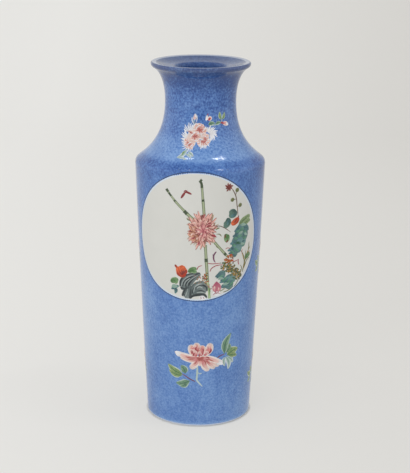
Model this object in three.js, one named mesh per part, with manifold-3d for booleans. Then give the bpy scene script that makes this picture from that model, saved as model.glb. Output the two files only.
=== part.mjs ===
// A tall porcelain vase with a tapering body, a sloping shoulder, a waisted neck and an everted lip.
// The mouth is a shallow dish, which rolls over into a narrower opening. The vase is thrown in four
// sections, which are luted together with slip, and its foot ring is turned. A powder-blue glaze
// coats the outside and the mouth. It leaves a round reserve at the front (-Y) and another at the
// back (+Y), which white glaze fills. Millimetres, +Z up, and the origin is at the centre of the foot
// ring, on the table.

import * as THREE from "three";
import { mergeVertices } from "three/addons/utils/BufferGeometryUtils.js";
import Module from "manifold-3d";

const wasm = await Module();
wasm.setup();

// The glaze lies on the clay. The clearance between them keeps their faces apart.
const glaze = { thickness: 0.4, clearance: 0.02 };

// Driving dimensions of the fired clay. Under the glaze it is 399.6 mm high.
const height = 400 - glaze.thickness;
const wall = 5;
const neckWall = 8.7;

const foot = { radius: 58.2, bevel: 1.4, glazeLine: 2.4, ringInner: 50.5, recess: 8, taper: 1.5 };
const floor = { top: 16.5, corner: 9 };
const belly = { radius: 65.65, height: 144.5 };
const shoulder = { radius: 70.9, height: 289, edgeRadius: 68.1, edgeHeight: 295.6, angle: 37 };
const waist = { radius: 38.35, height: 357.4 };
const lip = { underRadius: 51.55, underHeight: 394.4, angle: 30.5, bulge: 54.5, topRadius: 52.4 };
const mouth = { dishRadius: 30.5, dishHeight: 394.6, dishAngle: 7, radius: 27, height: 389.5 };

// Heights of the luted joints. Slip fills each joint, and stands in a low bead on the inside.
const joints = [118, 283, 326];
const slip = { thickness: 1.2, bead: 1.1 };

// The reserves were masked by hand: a little wider than high, and a little fuller below.
const reserve = { height: 221.7, halfHeight: 71.5, wider: 4, fuller: 5, line: 0.3 };

// The blue glaze goes down inside the neck to this height. White glaze lines the rest.
const mouthGlazeBottom = 340;

const segments = 32;

const finishes = {
  clay: { color: 0xe9e4d9, roughness: 0.75, metalness: 0 },
  slip: { color: 0xf1ede4, roughness: 0.8, metalness: 0 },
  blue: { color: 0x5b82c4, roughness: 0.2, metalness: 0 },
  white: { color: 0xd6d8d2, roughness: 0.15, metalness: 0 },
};

const vase = new THREE.Group();

function add(name, geometry, finish) {
  const mesh = new THREE.Mesh(geometry, new THREE.MeshStandardMaterial(finishes[finish]));
  mesh.name = name;
  vase.add(mesh);
}

// Profiles are lines of points (radius, height) in the half plane beside the axis.
const point = (r, z) => new THREE.Vector2(r, z);
const along = (start, angle, distance) =>
  point(
    start.x + distance * Math.cos(THREE.MathUtils.degToRad(angle)),
    start.y + distance * Math.sin(THREE.MathUtils.degToRad(angle)),
  );

function bezier(steps, ...handles) {
  const Curve = handles.length === 4 ? THREE.CubicBezierCurve : THREE.QuadraticBezierCurve;
  return new Curve(...handles).getPoints(steps);
}

// Lines that each start where the last one ended, as one line.
const joined = (...lines) => lines.flatMap((line, i) => (i ? line.slice(1) : line));

// The line with a point added at each height that it crosses.
function withPointsAt(line, heights) {
  return line.flatMap((p, i) => {
    const q = line[i + 1];
    if (!q) return [p];
    const crossed = heights.filter((z) => (z - p.y) * (z - q.y) < 0);
    crossed.sort((a, b) => (a - b) * Math.sign(q.y - p.y));
    return [p, ...crossed.map((z) => p.clone().lerp(q, (z - p.y) / (q.y - p.y)))];
  });
}

// The line moved to its right, square to itself. Points on the axis stay there.
function offset(line, distance) {
  return line.map((p, i) => {
    const before = line[Math.max(i - 1, 0)];
    const after = line[Math.min(i + 1, line.length - 1)];
    const forward = after.clone().sub(before).normalize();
    return point(p.x + forward.y * distance, p.y - forward.x * distance);
  });
}

// The place in the line of the point nearest to a height.
const at = (line, z) =>
  line.reduce((best, p, i) => (Math.abs(p.y - z) < Math.abs(line[best].y - z) ? i : best), 0);
const stretch = (line, from, to) => line.slice(at(line, from), at(line, to) + 1);

// The outside of the clay, from the glaze line at the foot to the top of the lip.
const shoulderEdge = point(shoulder.edgeRadius, shoulder.edgeHeight);
const lipUnderside = point(lip.underRadius, lip.underHeight);
const lipTop = point(lip.topRadius, height);
const beds = joints.map((z) => [z - slip.thickness / 2, z + slip.thickness / 2]);

const outside = withPointsAt(
  joined(
    bezier(
      4,
      point(foot.radius, foot.glazeLine),
      point(belly.radius, belly.height),
      point(shoulder.radius, shoulder.height),
    ),
    bezier(
      3,
      point(shoulder.radius, shoulder.height),
      point(shoulder.radius + 0.15, shoulder.edgeHeight - 2.1),
      shoulderEdge,
    ),
    bezier(
      6,
      shoulderEdge,
      along(shoulderEdge, 180 - shoulder.angle, 17.4),
      point(waist.radius, waist.height - 35.4),
      point(waist.radius, waist.height),
    ),
    bezier(
      6,
      point(waist.radius, waist.height),
      point(waist.radius, waist.height + 16.8),
      along(lipUnderside, 180 + lip.angle, 10.8),
      lipUnderside,
    ),
    bezier(4, lipUnderside, along(lipUnderside, lip.angle, 3), point(lip.bulge, height - 0.6), lipTop),
  ),
  beds.flat(),
);

// The inside of the clay, from the top of the lip down to the middle of the floor.
const throat = waist.radius - neckWall;
const innerShoulder = point(shoulder.edgeRadius - 6.5, shoulder.edgeHeight - 1.8);
const wallTop = point(shoulder.radius - wall, shoulder.height - wall);
const wallBottom = point(foot.radius + 1.2 - wall, floor.top + floor.corner);
const dishEdge = point(mouth.dishRadius, mouth.dishHeight);
const opening = point(mouth.radius, mouth.height);

const inside = withPointsAt(
  joined(
    bezier(3, lipTop, point(lipTop.x - 4, height), along(dishEdge, mouth.dishAngle, 12), dishEdge),
    bezier(2, dishEdge, along(dishEdge, 180 + mouth.dishAngle, 3.5), opening),
    [opening, point(throat, waist.height + 3)],
    bezier(
      5,
      point(throat, waist.height + 3),
      point(throat, waist.height - 38),
      along(innerShoulder, 180 - shoulder.angle, 16),
      innerShoulder,
    ),
    bezier(2, innerShoulder, point(wallTop.x + 0.1, innerShoulder.y - 3.2), wallTop),
    bezier(3, wallTop, point(belly.radius - wall, belly.height + 5), wallBottom),
    bezier(3, wallBottom, point(wallBottom.x - 0.4, floor.top), point(wallBottom.x - floor.corner, floor.top)),
    [point(wallBottom.x - floor.corner, floor.top), point(0, floor.top)],
  ),
  [...beds.flat(), ...joints, mouthGlazeBottom],
).map((p) => (joints.includes(p.y) ? point(p.x - slip.bead, p.y) : p));

// The underside, from the middle of the recess to the glaze line on the outside of the foot ring.
const recessEdge = foot.ringInner - 2 * foot.taper;
const underside = [
  point(0, foot.recess),
  point(recessEdge, foot.recess),
  point(foot.ringInner - foot.taper, foot.recess - foot.taper),
  point(foot.ringInner, foot.bevel / 2),
  point(foot.ringInner + foot.bevel / 2, 0),
  point(foot.radius - foot.bevel, 0),
  point(foot.radius, foot.bevel),
];

// A line turned round the axis. It runs up the outside of the solid and down its inside, from axis
// to axis. A ring's line meets itself instead.
function turned(line) {
  const lathe = new THREE.LatheGeometry(line, segments);
  lathe.rotateX(Math.PI / 2);
  return lathe;
}
const turnedRing = (line) => turned([...line, line[0]]);

// The four thrown sections, and the slip between them.
const [lowerBed, shoulderBed, neckBed] = beds;
const fromInside = (z) => inside.slice(at(inside, z));

add("base_section", turned([...underside, ...stretch(outside, 0, lowerBed[0]), ...fromInside(lowerBed[0])]), "clay");

const between = (low, high) => turnedRing([...stretch(outside, low, high), ...stretch(inside, high, low)]);
add("body_section", between(lowerBed[1], shoulderBed[0]), "clay");
add("shoulder_section", between(shoulderBed[1], neckBed[0]), "clay");

const neckOutside = outside.slice(at(outside, neckBed[1]));
const neckInside = inside.slice(1, at(inside, neckBed[1]) + 1);
add("neck_section", turnedRing([...neckOutside, ...neckInside]), "clay");

add("lower_luting_slip", between(...lowerBed), "slip");
add("shoulder_luting_slip", between(...shoulderBed), "slip");
add("neck_luting_slip", between(...neckBed), "slip");

// The glaze on the clay, with its free face and the face that it is bonded by. On the lip a white
// line, where the glaze was wiped, parts the blue of the outside from the blue of the mouth.
const surface = joined(outside, inside);
const glazeFace = offset(surface, glaze.thickness);
const glazeBack = offset(surface, glaze.clearance);
const whiteLineStart = outside.length - 2;
const whiteLineEnd = outside.length;
const mouthGlazeEnd = outside.length - 1 + at(inside, mouthGlazeBottom);

const coat = (from, to) => turnedRing([...glazeFace.slice(from, to + 1), ...glazeBack.slice(from, to + 1).reverse()]);
const blueCoat = coat(0, whiteLineStart);
add("rim_glaze", coat(whiteLineStart, whiteLineEnd), "white");
add("mouth_blue_glaze", coat(whiteLineEnd, mouthGlazeEnd), "blue");
add(
  "inner_glaze",
  turned([...glazeBack.slice(mouthGlazeEnd).reverse(), ...glazeFace.slice(mouthGlazeEnd)]),
  "white",
);

const recessGlaze = [
  point(0, foot.recess - glaze.thickness),
  point(recessEdge - 1, foot.recess - glaze.thickness),
  point(recessEdge - 1, foot.recess - glaze.clearance),
  point(0, foot.recess - glaze.clearance),
];
add("recess_glaze", turned(recessGlaze), "white");

// A closed geometry as a solid for cutting, and a solid as a geometry.
function solidOf(geometry) {
  const bare = geometry.clone().deleteAttribute("normal").deleteAttribute("uv");
  const merged = mergeVertices(bare, 1e-4);
  const vertProperties = merged.attributes.position.array;
  const triVerts = new Uint32Array(merged.index.array);
  return new wasm.Manifold(new wasm.Mesh({ numProp: 3, vertProperties, triVerts }));
}

function geometryOf(solid) {
  const { vertProperties, triVerts } = solid.getMesh();
  const geometry = new THREE.BufferGeometry();
  geometry.setAttribute("position", new THREE.BufferAttribute(vertProperties, 3));
  geometry.setIndex(new THREE.BufferAttribute(triVerts, 1));
  geometry.computeVertexNormals();
  return geometry;
}

// The outer radius of the wall at a height.
function wallRadius(z) {
  const i = outside.findIndex((p) => p.y > z);
  const [p, q] = [outside[i - 1], outside[i]];
  return THREE.MathUtils.mapLinear(z, p.y, q.y, p.x, q.x);
}

// A wedge that runs out from the axis through the wall. Its outline, laid on the wall, is the
// reserve's. Facing is 1 for the front and -1 for the back.
function reserveWedge(inset, facing) {
  const steps = 36;
  const near = shoulder.radius * 0.6;
  const far = shoulder.radius * 1.35;
  const positions = [];
  const put = (r, angle, z) => positions.push(facing * r * Math.sin(angle), -facing * r * Math.cos(angle), z);
  put(near, 0, reserve.height);
  put(far, 0, reserve.height);
  for (let i = 0; i < steps; i++) {
    const turn = (2 * Math.PI * i) / steps;
    const side = Math.cos(turn) ** 2;
    const radius = reserve.halfHeight + side * (reserve.wider - reserve.fuller * Math.sin(turn)) - inset;
    const z = reserve.height + radius * Math.sin(turn);
    const angle = (radius * Math.cos(turn)) / wallRadius(z);
    put(near, angle, z);
    put(far, angle, z);
  }
  const faces = [];
  for (let i = 0; i < steps; i++) {
    const a = 2 + 2 * i;
    const b = 2 + 2 * ((i + 1) % steps);
    faces.push(0, b, a, 1, a + 1, b + 1, a, b, a + 1, b, b + 1, a + 1);
  }
  const geometry = new THREE.BufferGeometry();
  geometry.setAttribute("position", new THREE.Float32BufferAttribute(positions, 3));
  geometry.setIndex(faces);
  return solidOf(geometry);
}

// The reserves are cut out of the blue coat. White glaze fills them to a thin line round the edge.
const wholeCoat = solidOf(blueCoat);
let cutCoat = wholeCoat;
for (const [name, facing] of [["front_reserve_glaze", 1], ["back_reserve_glaze", -1]]) {
  cutCoat = cutCoat.subtract(reserveWedge(0, facing));
  add(name, geometryOf(wholeCoat.intersect(reserveWedge(reserve.line, facing))), "white");
}
add("powder_blue_glaze", geometryOf(cutCoat), "blue");

export default vase;
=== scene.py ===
# %% [markdown]
# # A powder-blue vase with a painted window
#
# A porcelain vase is finished in layers: a thrown and fired body, a blown coat of blue glaze with two
# round windows left in it, white glaze in the windows, and enamel painting fired on last. This script
# makes the layers in the same order. The measured model of the vase is already there as a fixed frame,
# and everything here is laid on it.

import math
from functools import reduce

import bpy
from mathutils import Matrix, Vector


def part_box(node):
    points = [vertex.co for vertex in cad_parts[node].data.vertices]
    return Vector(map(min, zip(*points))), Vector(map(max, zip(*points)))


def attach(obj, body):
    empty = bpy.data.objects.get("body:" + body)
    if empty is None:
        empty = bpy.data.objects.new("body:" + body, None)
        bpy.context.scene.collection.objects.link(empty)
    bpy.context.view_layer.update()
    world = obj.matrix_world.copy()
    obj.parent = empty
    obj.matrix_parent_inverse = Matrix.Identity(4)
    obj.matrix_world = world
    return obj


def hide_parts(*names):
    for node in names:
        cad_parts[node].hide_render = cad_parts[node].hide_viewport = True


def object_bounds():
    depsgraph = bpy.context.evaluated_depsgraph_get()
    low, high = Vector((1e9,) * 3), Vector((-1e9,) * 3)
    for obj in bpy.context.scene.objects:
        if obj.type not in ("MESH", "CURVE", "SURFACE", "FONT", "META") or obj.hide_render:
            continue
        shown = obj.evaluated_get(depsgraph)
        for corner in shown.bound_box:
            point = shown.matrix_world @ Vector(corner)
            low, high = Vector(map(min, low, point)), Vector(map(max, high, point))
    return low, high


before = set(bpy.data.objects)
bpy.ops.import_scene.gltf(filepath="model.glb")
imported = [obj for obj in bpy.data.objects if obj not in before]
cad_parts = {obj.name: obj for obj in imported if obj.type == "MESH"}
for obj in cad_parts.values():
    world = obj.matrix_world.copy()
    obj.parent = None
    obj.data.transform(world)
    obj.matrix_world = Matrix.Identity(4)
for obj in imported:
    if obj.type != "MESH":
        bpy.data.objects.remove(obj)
cad_low, cad_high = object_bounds()
print("The frame holds", len(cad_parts), "nodes, and stands", round(cad_high.z, 4), "m high")

# %% [markdown]
# ## Units and colours
#
# A potter thinks in millimetres, and Blender works in metres, so every size is written in millimetres
# and multiplied by MM once. Colours are written as they look on a screen, and Blender wants them linear.

# %% Millimetres and screen colours
MM = 0.001


def colour(code):
    """A screen colour such as "5b82c4" as the linear colour that shaders use."""
    parts = [int(code[i:i + 2], 16) / 255 for i in (0, 2, 4)]
    return [p / 12.92 if p < 0.04045 else ((p + 0.055) / 1.055) ** 2.4 for p in parts] + [1.0]


# %% [markdown]
# ## A short way to write node trees
#
# Each tree below is built from code. One helper adds a node, sets its settings, and gives each input
# either a value or the output that feeds it. The others are short names for what comes up again and
# again: a sum, a product, a value mapped from one range to another, a vector put together or split.

# %% Helpers for node trees
def put(tree, kind, inputs=None, **settings):
    """Adds a node. The inputs are a dictionary of socket names or numbers to values or outputs."""
    node = tree.nodes.new(kind)
    for key, value in settings.items():
        setattr(node, key, value)
    for place, value in (inputs or {}).items():
        if isinstance(value, bpy.types.NodeSocket):
            tree.links.new(value, node.inputs[place])
        else:
            node.inputs[place].default_value = value
    return node


def out_of(tree, kind, inputs=None, **settings):
    """Adds a node, and gives its first output that is switched on."""
    return next(o for o in put(tree, kind, inputs, **settings).outputs if o.enabled)


def calc(tree, operation, *values):
    """One step of arithmetic, such as calc(tree, "SUBTRACT", a, b), as an output."""
    return out_of(tree, "ShaderNodeMath", dict(enumerate(values)), operation=operation)


def total(tree, *values):
    """The sum of the values."""
    return reduce(lambda a, b: calc(tree, "ADD", a, b), values)


def product(tree, *values):
    """The values multiplied."""
    return reduce(lambda a, b: calc(tree, "MULTIPLY", a, b), values)


def swing(tree, value, size):
    """A value from 0 to 1, turned into a swing of a size to both sides of nought."""
    return calc(tree, "MULTIPLY_ADD", value, size, -size / 2)


def mapped(tree, value, start, stop, first=0.0, last=1.0):
    """The way of a value from a start to a stop, turned into the way from first to last."""
    ends = {"From Min": start, "From Max": stop, "To Min": first, "To Max": last}
    return out_of(tree, "ShaderNodeMapRange", {"Value": value, **ends})


def vector(tree, x=0.0, y=0.0, z=0.0):
    """Three values as one vector."""
    return out_of(tree, "ShaderNodeCombineXYZ", {"X": x, "Y": y, "Z": z})


def split(tree, value):
    """The x, y and z of a vector."""
    return put(tree, "ShaderNodeSeparateXYZ", {0: value}).outputs


def new_tree(name, kind, inputs, outputs):
    """An empty node group with named sockets, each written as (name, type, default)."""
    tree = bpy.data.node_groups.new(name, kind)
    for label, socket_type, default in inputs:
        socket = tree.interface.new_socket(label, in_out="INPUT", socket_type="NodeSocket" + socket_type)
        if default is not None:
            socket.default_value = default
    for label, socket_type in outputs:
        tree.interface.new_socket(label, in_out="OUTPUT", socket_type="NodeSocket" + socket_type)
    return tree, put(tree, "NodeGroupInput").outputs, put(tree, "NodeGroupOutput").inputs


def run_tree(name, tree, source=None, **values):
    """Runs a geometry tree once and returns its result as a plain mesh object with no modifier. Each
    input is set by the identifier of its socket, before anything is evaluated."""
    carrier = bpy.data.objects.new(name + "_carrier", source or bpy.data.meshes.new(name + "_carrier"))
    bpy.context.scene.collection.objects.link(carrier)
    modifier = carrier.modifiers.new("tree", "NODES")
    modifier.node_group = tree
    for item in tree.interface.items_tree:
        key = item.name.lower().replace(" ", "_")
        if item.in_out == "INPUT" and key in values:
            modifier[item.identifier] = values[key]
    evaluated = carrier.evaluated_get(bpy.context.evaluated_depsgraph_get())
    mesh = bpy.data.meshes.new_from_object(evaluated)
    mesh.name = name
    bpy.data.objects.remove(carrier)
    made = bpy.data.objects.new(name, mesh)
    bpy.context.scene.collection.objects.link(made)
    return made


# %% [markdown]
# ## The camera
#
# The vase was photographed from a little above its middle with a long lens, so its sides look almost
# parallel and its mouth shows as a thin ellipse. The camera's place is written as a distance, a height,
# and a small turn, because the window's middle faces a little to the left of the lens.

# %% Camera
CAMERA_DISTANCE = 1392.8
CAMERA_HEIGHT = 595.1
CAMERA_TURN = math.radians(3.75)
CAMERA_PITCH = 0.2738
CAMERA_YAW = 0.0043
CAMERA_ROLL = 0.0083
LENS = 98.61
SENSOR_WIDTH = 36

lens = bpy.data.cameras.new("camera")
lens.lens = LENS
lens.sensor_width = SENSOR_WIDTH
camera = bpy.data.objects.new("camera", lens)
camera.location = (
    CAMERA_DISTANCE * MM * math.sin(CAMERA_TURN),
    -CAMERA_DISTANCE * MM * math.cos(CAMERA_TURN),
    CAMERA_HEIGHT * MM,
)
turn = Matrix.Rotation(CAMERA_TURN - CAMERA_YAW, 3, "Z")
pitch = Matrix.Rotation(math.pi / 2 - CAMERA_PITCH, 3, "X")
roll = Matrix.Rotation(CAMERA_ROLL, 3, "Z")
camera.rotation_euler = (turn @ pitch @ roll).to_euler()
bpy.context.scene.collection.objects.link(camera)
bpy.context.scene.camera = camera
bpy.context.scene.view_settings.view_transform = "Standard"
print("The camera stands", round(camera.location.length, 3), "m from the foot")

# %% [markdown]
# ## The floor, the backdrop and the light
#
# Glaze is mostly read by what it reflects, and a pale room all round gives the soft milky edges. The
# backdrop is one sheet that sweeps up behind the vase, so that no line shows where the floor ends. To
# the lens it glows a little, which evens it out, but not right at the foot, where its own shadow shows
# as a dark line of contact.

# %% Stage
# The paper is painted lighter on the left and darker on the right, as painted light from the left.
PAPER_LIT_LEFT = colour("efeeea")
PAPER_SHADED_RIGHT = colour("dcdad5")
PAPER_CHANGE = 0.5
PAPER_GLOW = 0.66
CONTACT_SHADE = (0.0592, 0.0606)
FOOT_OPENING = 0.0545
SWEEP_START = -3.0
SWEEP_DISTANCE = 1.6
SWEEP_HEIGHT = 2.6
SWEEP_RADIUS = 0.9
SWEEP_HALF_WIDTH = 3.0
SWEEP_STEPS = 24


def backdrop():
    """A floor that curves up into a wall, from in front of the camera to high behind the vase."""
    line = [(SWEEP_START, 0.0), (SWEEP_DISTANCE, 0.0)]
    for i in range(1, SWEEP_STEPS + 1):
        angle = math.pi / 2 * i / SWEEP_STEPS
        line.append((SWEEP_DISTANCE + SWEEP_RADIUS * math.sin(angle), SWEEP_RADIUS * (1 - math.cos(angle))))
    line.append((SWEEP_DISTANCE + SWEEP_RADIUS, SWEEP_HEIGHT))
    points = [(x, y, z) for y, z in line for x in (-SWEEP_HALF_WIDTH, SWEEP_HALF_WIDTH)]
    faces = [(2 * i, 2 * i + 1, 2 * i + 3, 2 * i + 2) for i in range(len(line) - 1)]
    mesh = bpy.data.meshes.new("backdrop")
    mesh.from_pydata(points, [], faces)
    mesh.shade_smooth()
    sheet = bpy.data.objects.new("backdrop", mesh)
    bpy.context.scene.collection.objects.link(sheet)
    return sheet


def material(name):
    """A material with an empty node tree, and that tree."""
    made = bpy.data.materials.new(name)
    made.use_nodes = True
    made.node_tree.nodes.clear()
    return made, made.node_tree


def object_place(tree):
    """The place on the vase, the same from every side and at every size of picture."""
    return put(tree, "ShaderNodeTexCoord").outputs["Object"]


def mixed(tree, share, first, second):
    """A colour between two others."""
    return out_of(tree, "ShaderNodeMix", {0: share, 6: first, 7: second}, data_type="RGBA")


def blended(tree, share, first, second):
    """A surface between two others."""
    return out_of(tree, "ShaderNodeMixShader", {0: share, 1: first, 2: second})


def seen_directly(tree):
    """1 where the lens or the glaze looks, and 0 where only light arrives."""
    path = put(tree, "ShaderNodeLightPath").outputs
    return calc(tree, "MAXIMUM", path["Is Camera Ray"], path["Is Glossy Ray"])


def paper_material():
    """Matt paper, painted lighter on the left as light falling from that side. The lens and the glaze see it
    evened out, but for its shadows.
    It is open under the foot ring, so that light reaches the underside when the vase is seen from below."""
    made, tree = material("backdrop_paper")
    place = object_place(tree)
    share = mapped(tree, split(tree, place)["X"], -PAPER_CHANGE, PAPER_CHANGE)
    tone = mixed(tree, share, PAPER_LIT_LEFT, PAPER_SHADED_RIGHT)
    paper = out_of(tree, "ShaderNodeBsdfDiffuse", {"Color": tone})
    glow = out_of(tree, "ShaderNodeEmission", {"Color": tone})
    out = put(tree, "ShaderNodeVectorMath", {0: place}, operation="LENGTH").outputs["Value"]
    front = blended(
        tree, product(tree, seen_directly(tree), PAPER_GLOW, mapped(tree, out, *CONTACT_SHADE)), paper, glow
    )
    behind = put(tree, "ShaderNodeNewGeometry").outputs["Backfacing"]
    missing = calc(tree, "MAXIMUM", behind, calc(tree, "LESS_THAN", out, FOOT_OPENING))
    either = blended(tree, missing, front, out_of(tree, "ShaderNodeBsdfTransparent"))
    put(tree, "ShaderNodeOutputMaterial", {"Surface": either})
    return made


sheet = backdrop()
sheet.data.materials.append(paper_material())

# %% Light
ROOM_COLOUR = colour("f6f7fa")
ROOM_LIGHT = 0.7
ROOM_PICTURE = colour("dddad6")
ROOM_FRONT = 0.45
ROOM_SIDES = 1.5
ROOM_SIDES_FROM = 0.3
FILL_PLACE = (-0.8, -2.6, 1.8)
FILL_AIM = (0, 0, 0.2)
FILL_SIZE = 2.4
FILL_POWER = 28


def lamp(name, place, aim, width, height, power, along=None):
    """A lamp of a width and a height at a place, in metres, facing another. It can lie along a line."""
    data = bpy.data.lights.new(name, "AREA")
    data.shape = "RECTANGLE"
    data.size = width
    data.size_y = height
    data.energy = power
    made = bpy.data.objects.new(name, data)
    made.location = place
    back = (Vector(place) - Vector(aim)).normalized()
    turn = back.to_track_quat("Z", "Y").to_matrix()
    if along:
        level = (along - along.dot(back) * back).normalized()
        turn = Matrix((level, back.cross(level), back)).transposed()
    made.rotation_euler = turn.to_euler()
    bpy.context.scene.collection.objects.link(made)
    return made


def room():
    """A pale room. Its light is even, but the glaze sees brighter walls at both sides, like windows."""
    world = bpy.data.worlds.new("pale_room")
    world.use_nodes = True
    tree = world.node_tree
    tree.nodes.clear()
    light = out_of(tree, "ShaderNodeBackground", {"Color": ROOM_COLOUR, "Strength": ROOM_LIGHT})
    way = put(tree, "ShaderNodeTexCoord").outputs["Generated"]
    aside = calc(tree, "ABSOLUTE", split(tree, way)["X"])
    strength = mapped(tree, aside, ROOM_SIDES_FROM, 1.0, ROOM_FRONT, ROOM_SIDES)
    picture = out_of(tree, "ShaderNodeBackground", {"Color": ROOM_PICTURE, "Strength": strength})
    through = put(tree, "ShaderNodeLightPath").outputs["Is Transmission Ray"]
    seen = calc(tree, "MAXIMUM", seen_directly(tree), through)
    put(tree, "ShaderNodeOutputWorld", {"Surface": blended(tree, seen, light, picture)})
    return world


bpy.context.scene.world = room()
fill = lamp("front_window", FILL_PLACE, FILL_AIM, FILL_SIZE, FILL_SIZE, FILL_POWER)
fill.visible_glossy = False

# %% [markdown]
# ## The outline that the potter throws
#
# One line carries the whole vase: from the foot up the wall, over the shoulder, in to the waist of the
# neck and out to the lip. It is drawn as smooth stretches between a few handles. The glaze lies a set
# thickness outside it, and a second line, drawn the same way with handles of its own, gives the inside.

# %% Outline of the clay
GLAZE = 0.4
HEIGHT = cad_high.z / MM - GLAZE
FOOT_RADIUS = 58.2
GLAZE_LINE = 2.4
WALL = 5.0
NECK_WALL = 8.7
BELLY = (65.65, 144.5)
SHOULDER = (70.9, 289.0)
SHOULDER_EDGE = (68.1, 295.6)
SHOULDER_SLOPE = math.radians(37)
WAIST = (38.35, 357.4)
LIP_UNDERSIDE = (51.55, 394.4)
LIP_SLOPE = math.radians(30.5)
LIP_BULGE = (54.5, HEIGHT - 0.6)
LIP_TOP = (52.4, HEIGHT)
DISH_EDGE = (30.5, 394.6)
DISH_SLOPE = math.radians(7)
OPENING = (27.0, 389.5)
FLOOR_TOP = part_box("inner_glaze")[0].z / MM
FLOOR_CORNER = 9.0
MOUTH_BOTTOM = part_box("mouth_blue_glaze")[0].z / MM


def bezier(steps, *handles):
    """Points of a smooth stretch from its three or four handles."""
    points = []
    for i in range(steps + 1):
        level = [Vector(h) for h in handles]
        while len(level) > 1:
            level = [a.lerp(b, i / steps) for a, b in zip(level, level[1:])]
        points.append(level[0])
    return points


def away(start, angle, distance):
    """The point at a distance from another, in a direction above the horizontal."""
    return (start[0] + distance * math.cos(angle), start[1] + distance * math.sin(angle))


def joined(*stretches):
    """Stretches that each start where the last one ended, as one line."""
    return stretches[0] + [p for s in stretches[1:] for p in s[1:]]


def moved(line, distance):
    """The line moved to its right, square to itself."""
    result = []
    for i, p in enumerate(line):
        forward = (line[min(i + 1, len(line) - 1)] - line[max(i - 1, 0)]).normalized()
        result.append(p + Vector((forward.y, -forward.x)) * distance)
    return result


outside = joined(
    bezier(72, (FOOT_RADIUS, GLAZE_LINE), BELLY, SHOULDER),
    bezier(10, SHOULDER, (SHOULDER[0] + 0.15, SHOULDER_EDGE[1] - 2.1), SHOULDER_EDGE),
    bezier(
        40,
        SHOULDER_EDGE,
        away(SHOULDER_EDGE, math.pi - SHOULDER_SLOPE, 17.4),
        (WAIST[0], WAIST[1] - 35.4),
        WAIST,
    ),
    bezier(
        26,
        WAIST,
        (WAIST[0], WAIST[1] + 16.8),
        away(LIP_UNDERSIDE, math.pi + LIP_SLOPE, 10.8),
        LIP_UNDERSIDE,
    ),
)
lip = bezier(14, LIP_UNDERSIDE, away(LIP_UNDERSIDE, LIP_SLOPE, 3), LIP_BULGE, LIP_TOP)
mouth = joined(
    bezier(18, LIP_TOP, (LIP_TOP[0] - 4, HEIGHT), away(DISH_EDGE, DISH_SLOPE, 12), DISH_EDGE),
    bezier(8, DISH_EDGE, away(DISH_EDGE, math.pi + DISH_SLOPE, 3.5), OPENING),
)
THROAT = WAIST[0] - NECK_WALL
INNER_SHOULDER = (SHOULDER_EDGE[0] - 6.5, SHOULDER_EDGE[1] - 1.8)
WALL_TOP = (SHOULDER[0] - WALL, SHOULDER[1] - WALL)
WALL_BOTTOM = (FOOT_RADIUS + 1.2 - WALL, FLOOR_TOP + FLOOR_CORNER)
inside = joined(
    bezier(10, OPENING, (OPENING[0], OPENING[1] - 8), (THROAT, WAIST[1] + 3)),
    bezier(
        24,
        (THROAT, WAIST[1] + 3),
        (THROAT, WAIST[1] - 38),
        away(INNER_SHOULDER, math.pi - SHOULDER_SLOPE, 16),
        INNER_SHOULDER,
    ),
    bezier(8, INNER_SHOULDER, (WALL_TOP[0] + 0.1, INNER_SHOULDER[1] - 3.2), WALL_TOP),
    bezier(30, WALL_TOP, (BELLY[0] - WALL, BELLY[1] + 5), WALL_BOTTOM),
    bezier(10, WALL_BOTTOM, (WALL_BOTTOM[0] - 0.4, FLOOR_TOP), (WALL_BOTTOM[0] - FLOOR_CORNER, FLOOR_TOP)),
    [Vector((r, FLOOR_TOP)) for r in (WALL_BOTTOM[0] - FLOOR_CORNER, 30, 15, 0)],
)
print("The outline has", len(outside), "points outside and", len(inside), "inside")

# %% [markdown]
# ## The wheel
#
# Turning a line round an axis could be done with the Screw modifier. Here a node tree does it, because
# the line's points then stay exactly where they are: a grid gets one row for each point of the line and
# one column for each step round the axis, and each grid point looks up its row's radius and height.

# %% Tree: turn a line on the wheel
WHEEL_STEPS = 192


def geometry_tree(name, sizes):
    """An empty geometry tree: a mesh, named sizes and a finish go in, and a mesh comes out."""
    kinds = {int: "Int", float: "Float", type(None): "Object"}
    inputs = [(label, kinds[type(value)], value) for label, value in sizes.items()]
    inputs = [("Geometry", "Geometry", None), *inputs, ("Finish", "Material", None)]
    return new_tree(name, "GeometryNodeTree", inputs, [("Geometry", "Geometry")])


def round_grid(tree, steps, rows):
    """A grid with a column for each step round, each point's row, and the sine and cosine of its angle."""
    counts = {"Vertices X": calc(tree, "ADD", steps, 1), "Vertices Y": rows}
    grid = out_of(tree, "GeometryNodeMeshGrid", counts)
    index = out_of(tree, "GeometryNodeInputIndex")
    column = calc(tree, "FLOOR", calc(tree, "DIVIDE", calc(tree, "ADD", index, 0.5), rows))
    angle = calc(tree, "DIVIDE", product(tree, column, math.tau), steps)
    return grid, calc(tree, "MODULO", index, rows), calc(tree, "SINE", angle), calc(tree, "COSINE", angle)


def closed_up(tree, geometry, distance=1e-6):
    """The geometry with its seam and its poles closed."""
    return out_of(tree, "GeometryNodeMergeByDistance", {"Geometry": geometry, "Distance": distance})


def hand_over(tree, given, result, geometry):
    """Ends a geometry tree: everything is made real and takes the finish that was given."""
    real = out_of(tree, "GeometryNodeRealizeInstances", {"Geometry": geometry})
    done = out_of(tree, "GeometryNodeSetMaterial", {"Geometry": real, "Material": given["Finish"]})
    tree.links.new(done, result["Geometry"])


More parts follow.
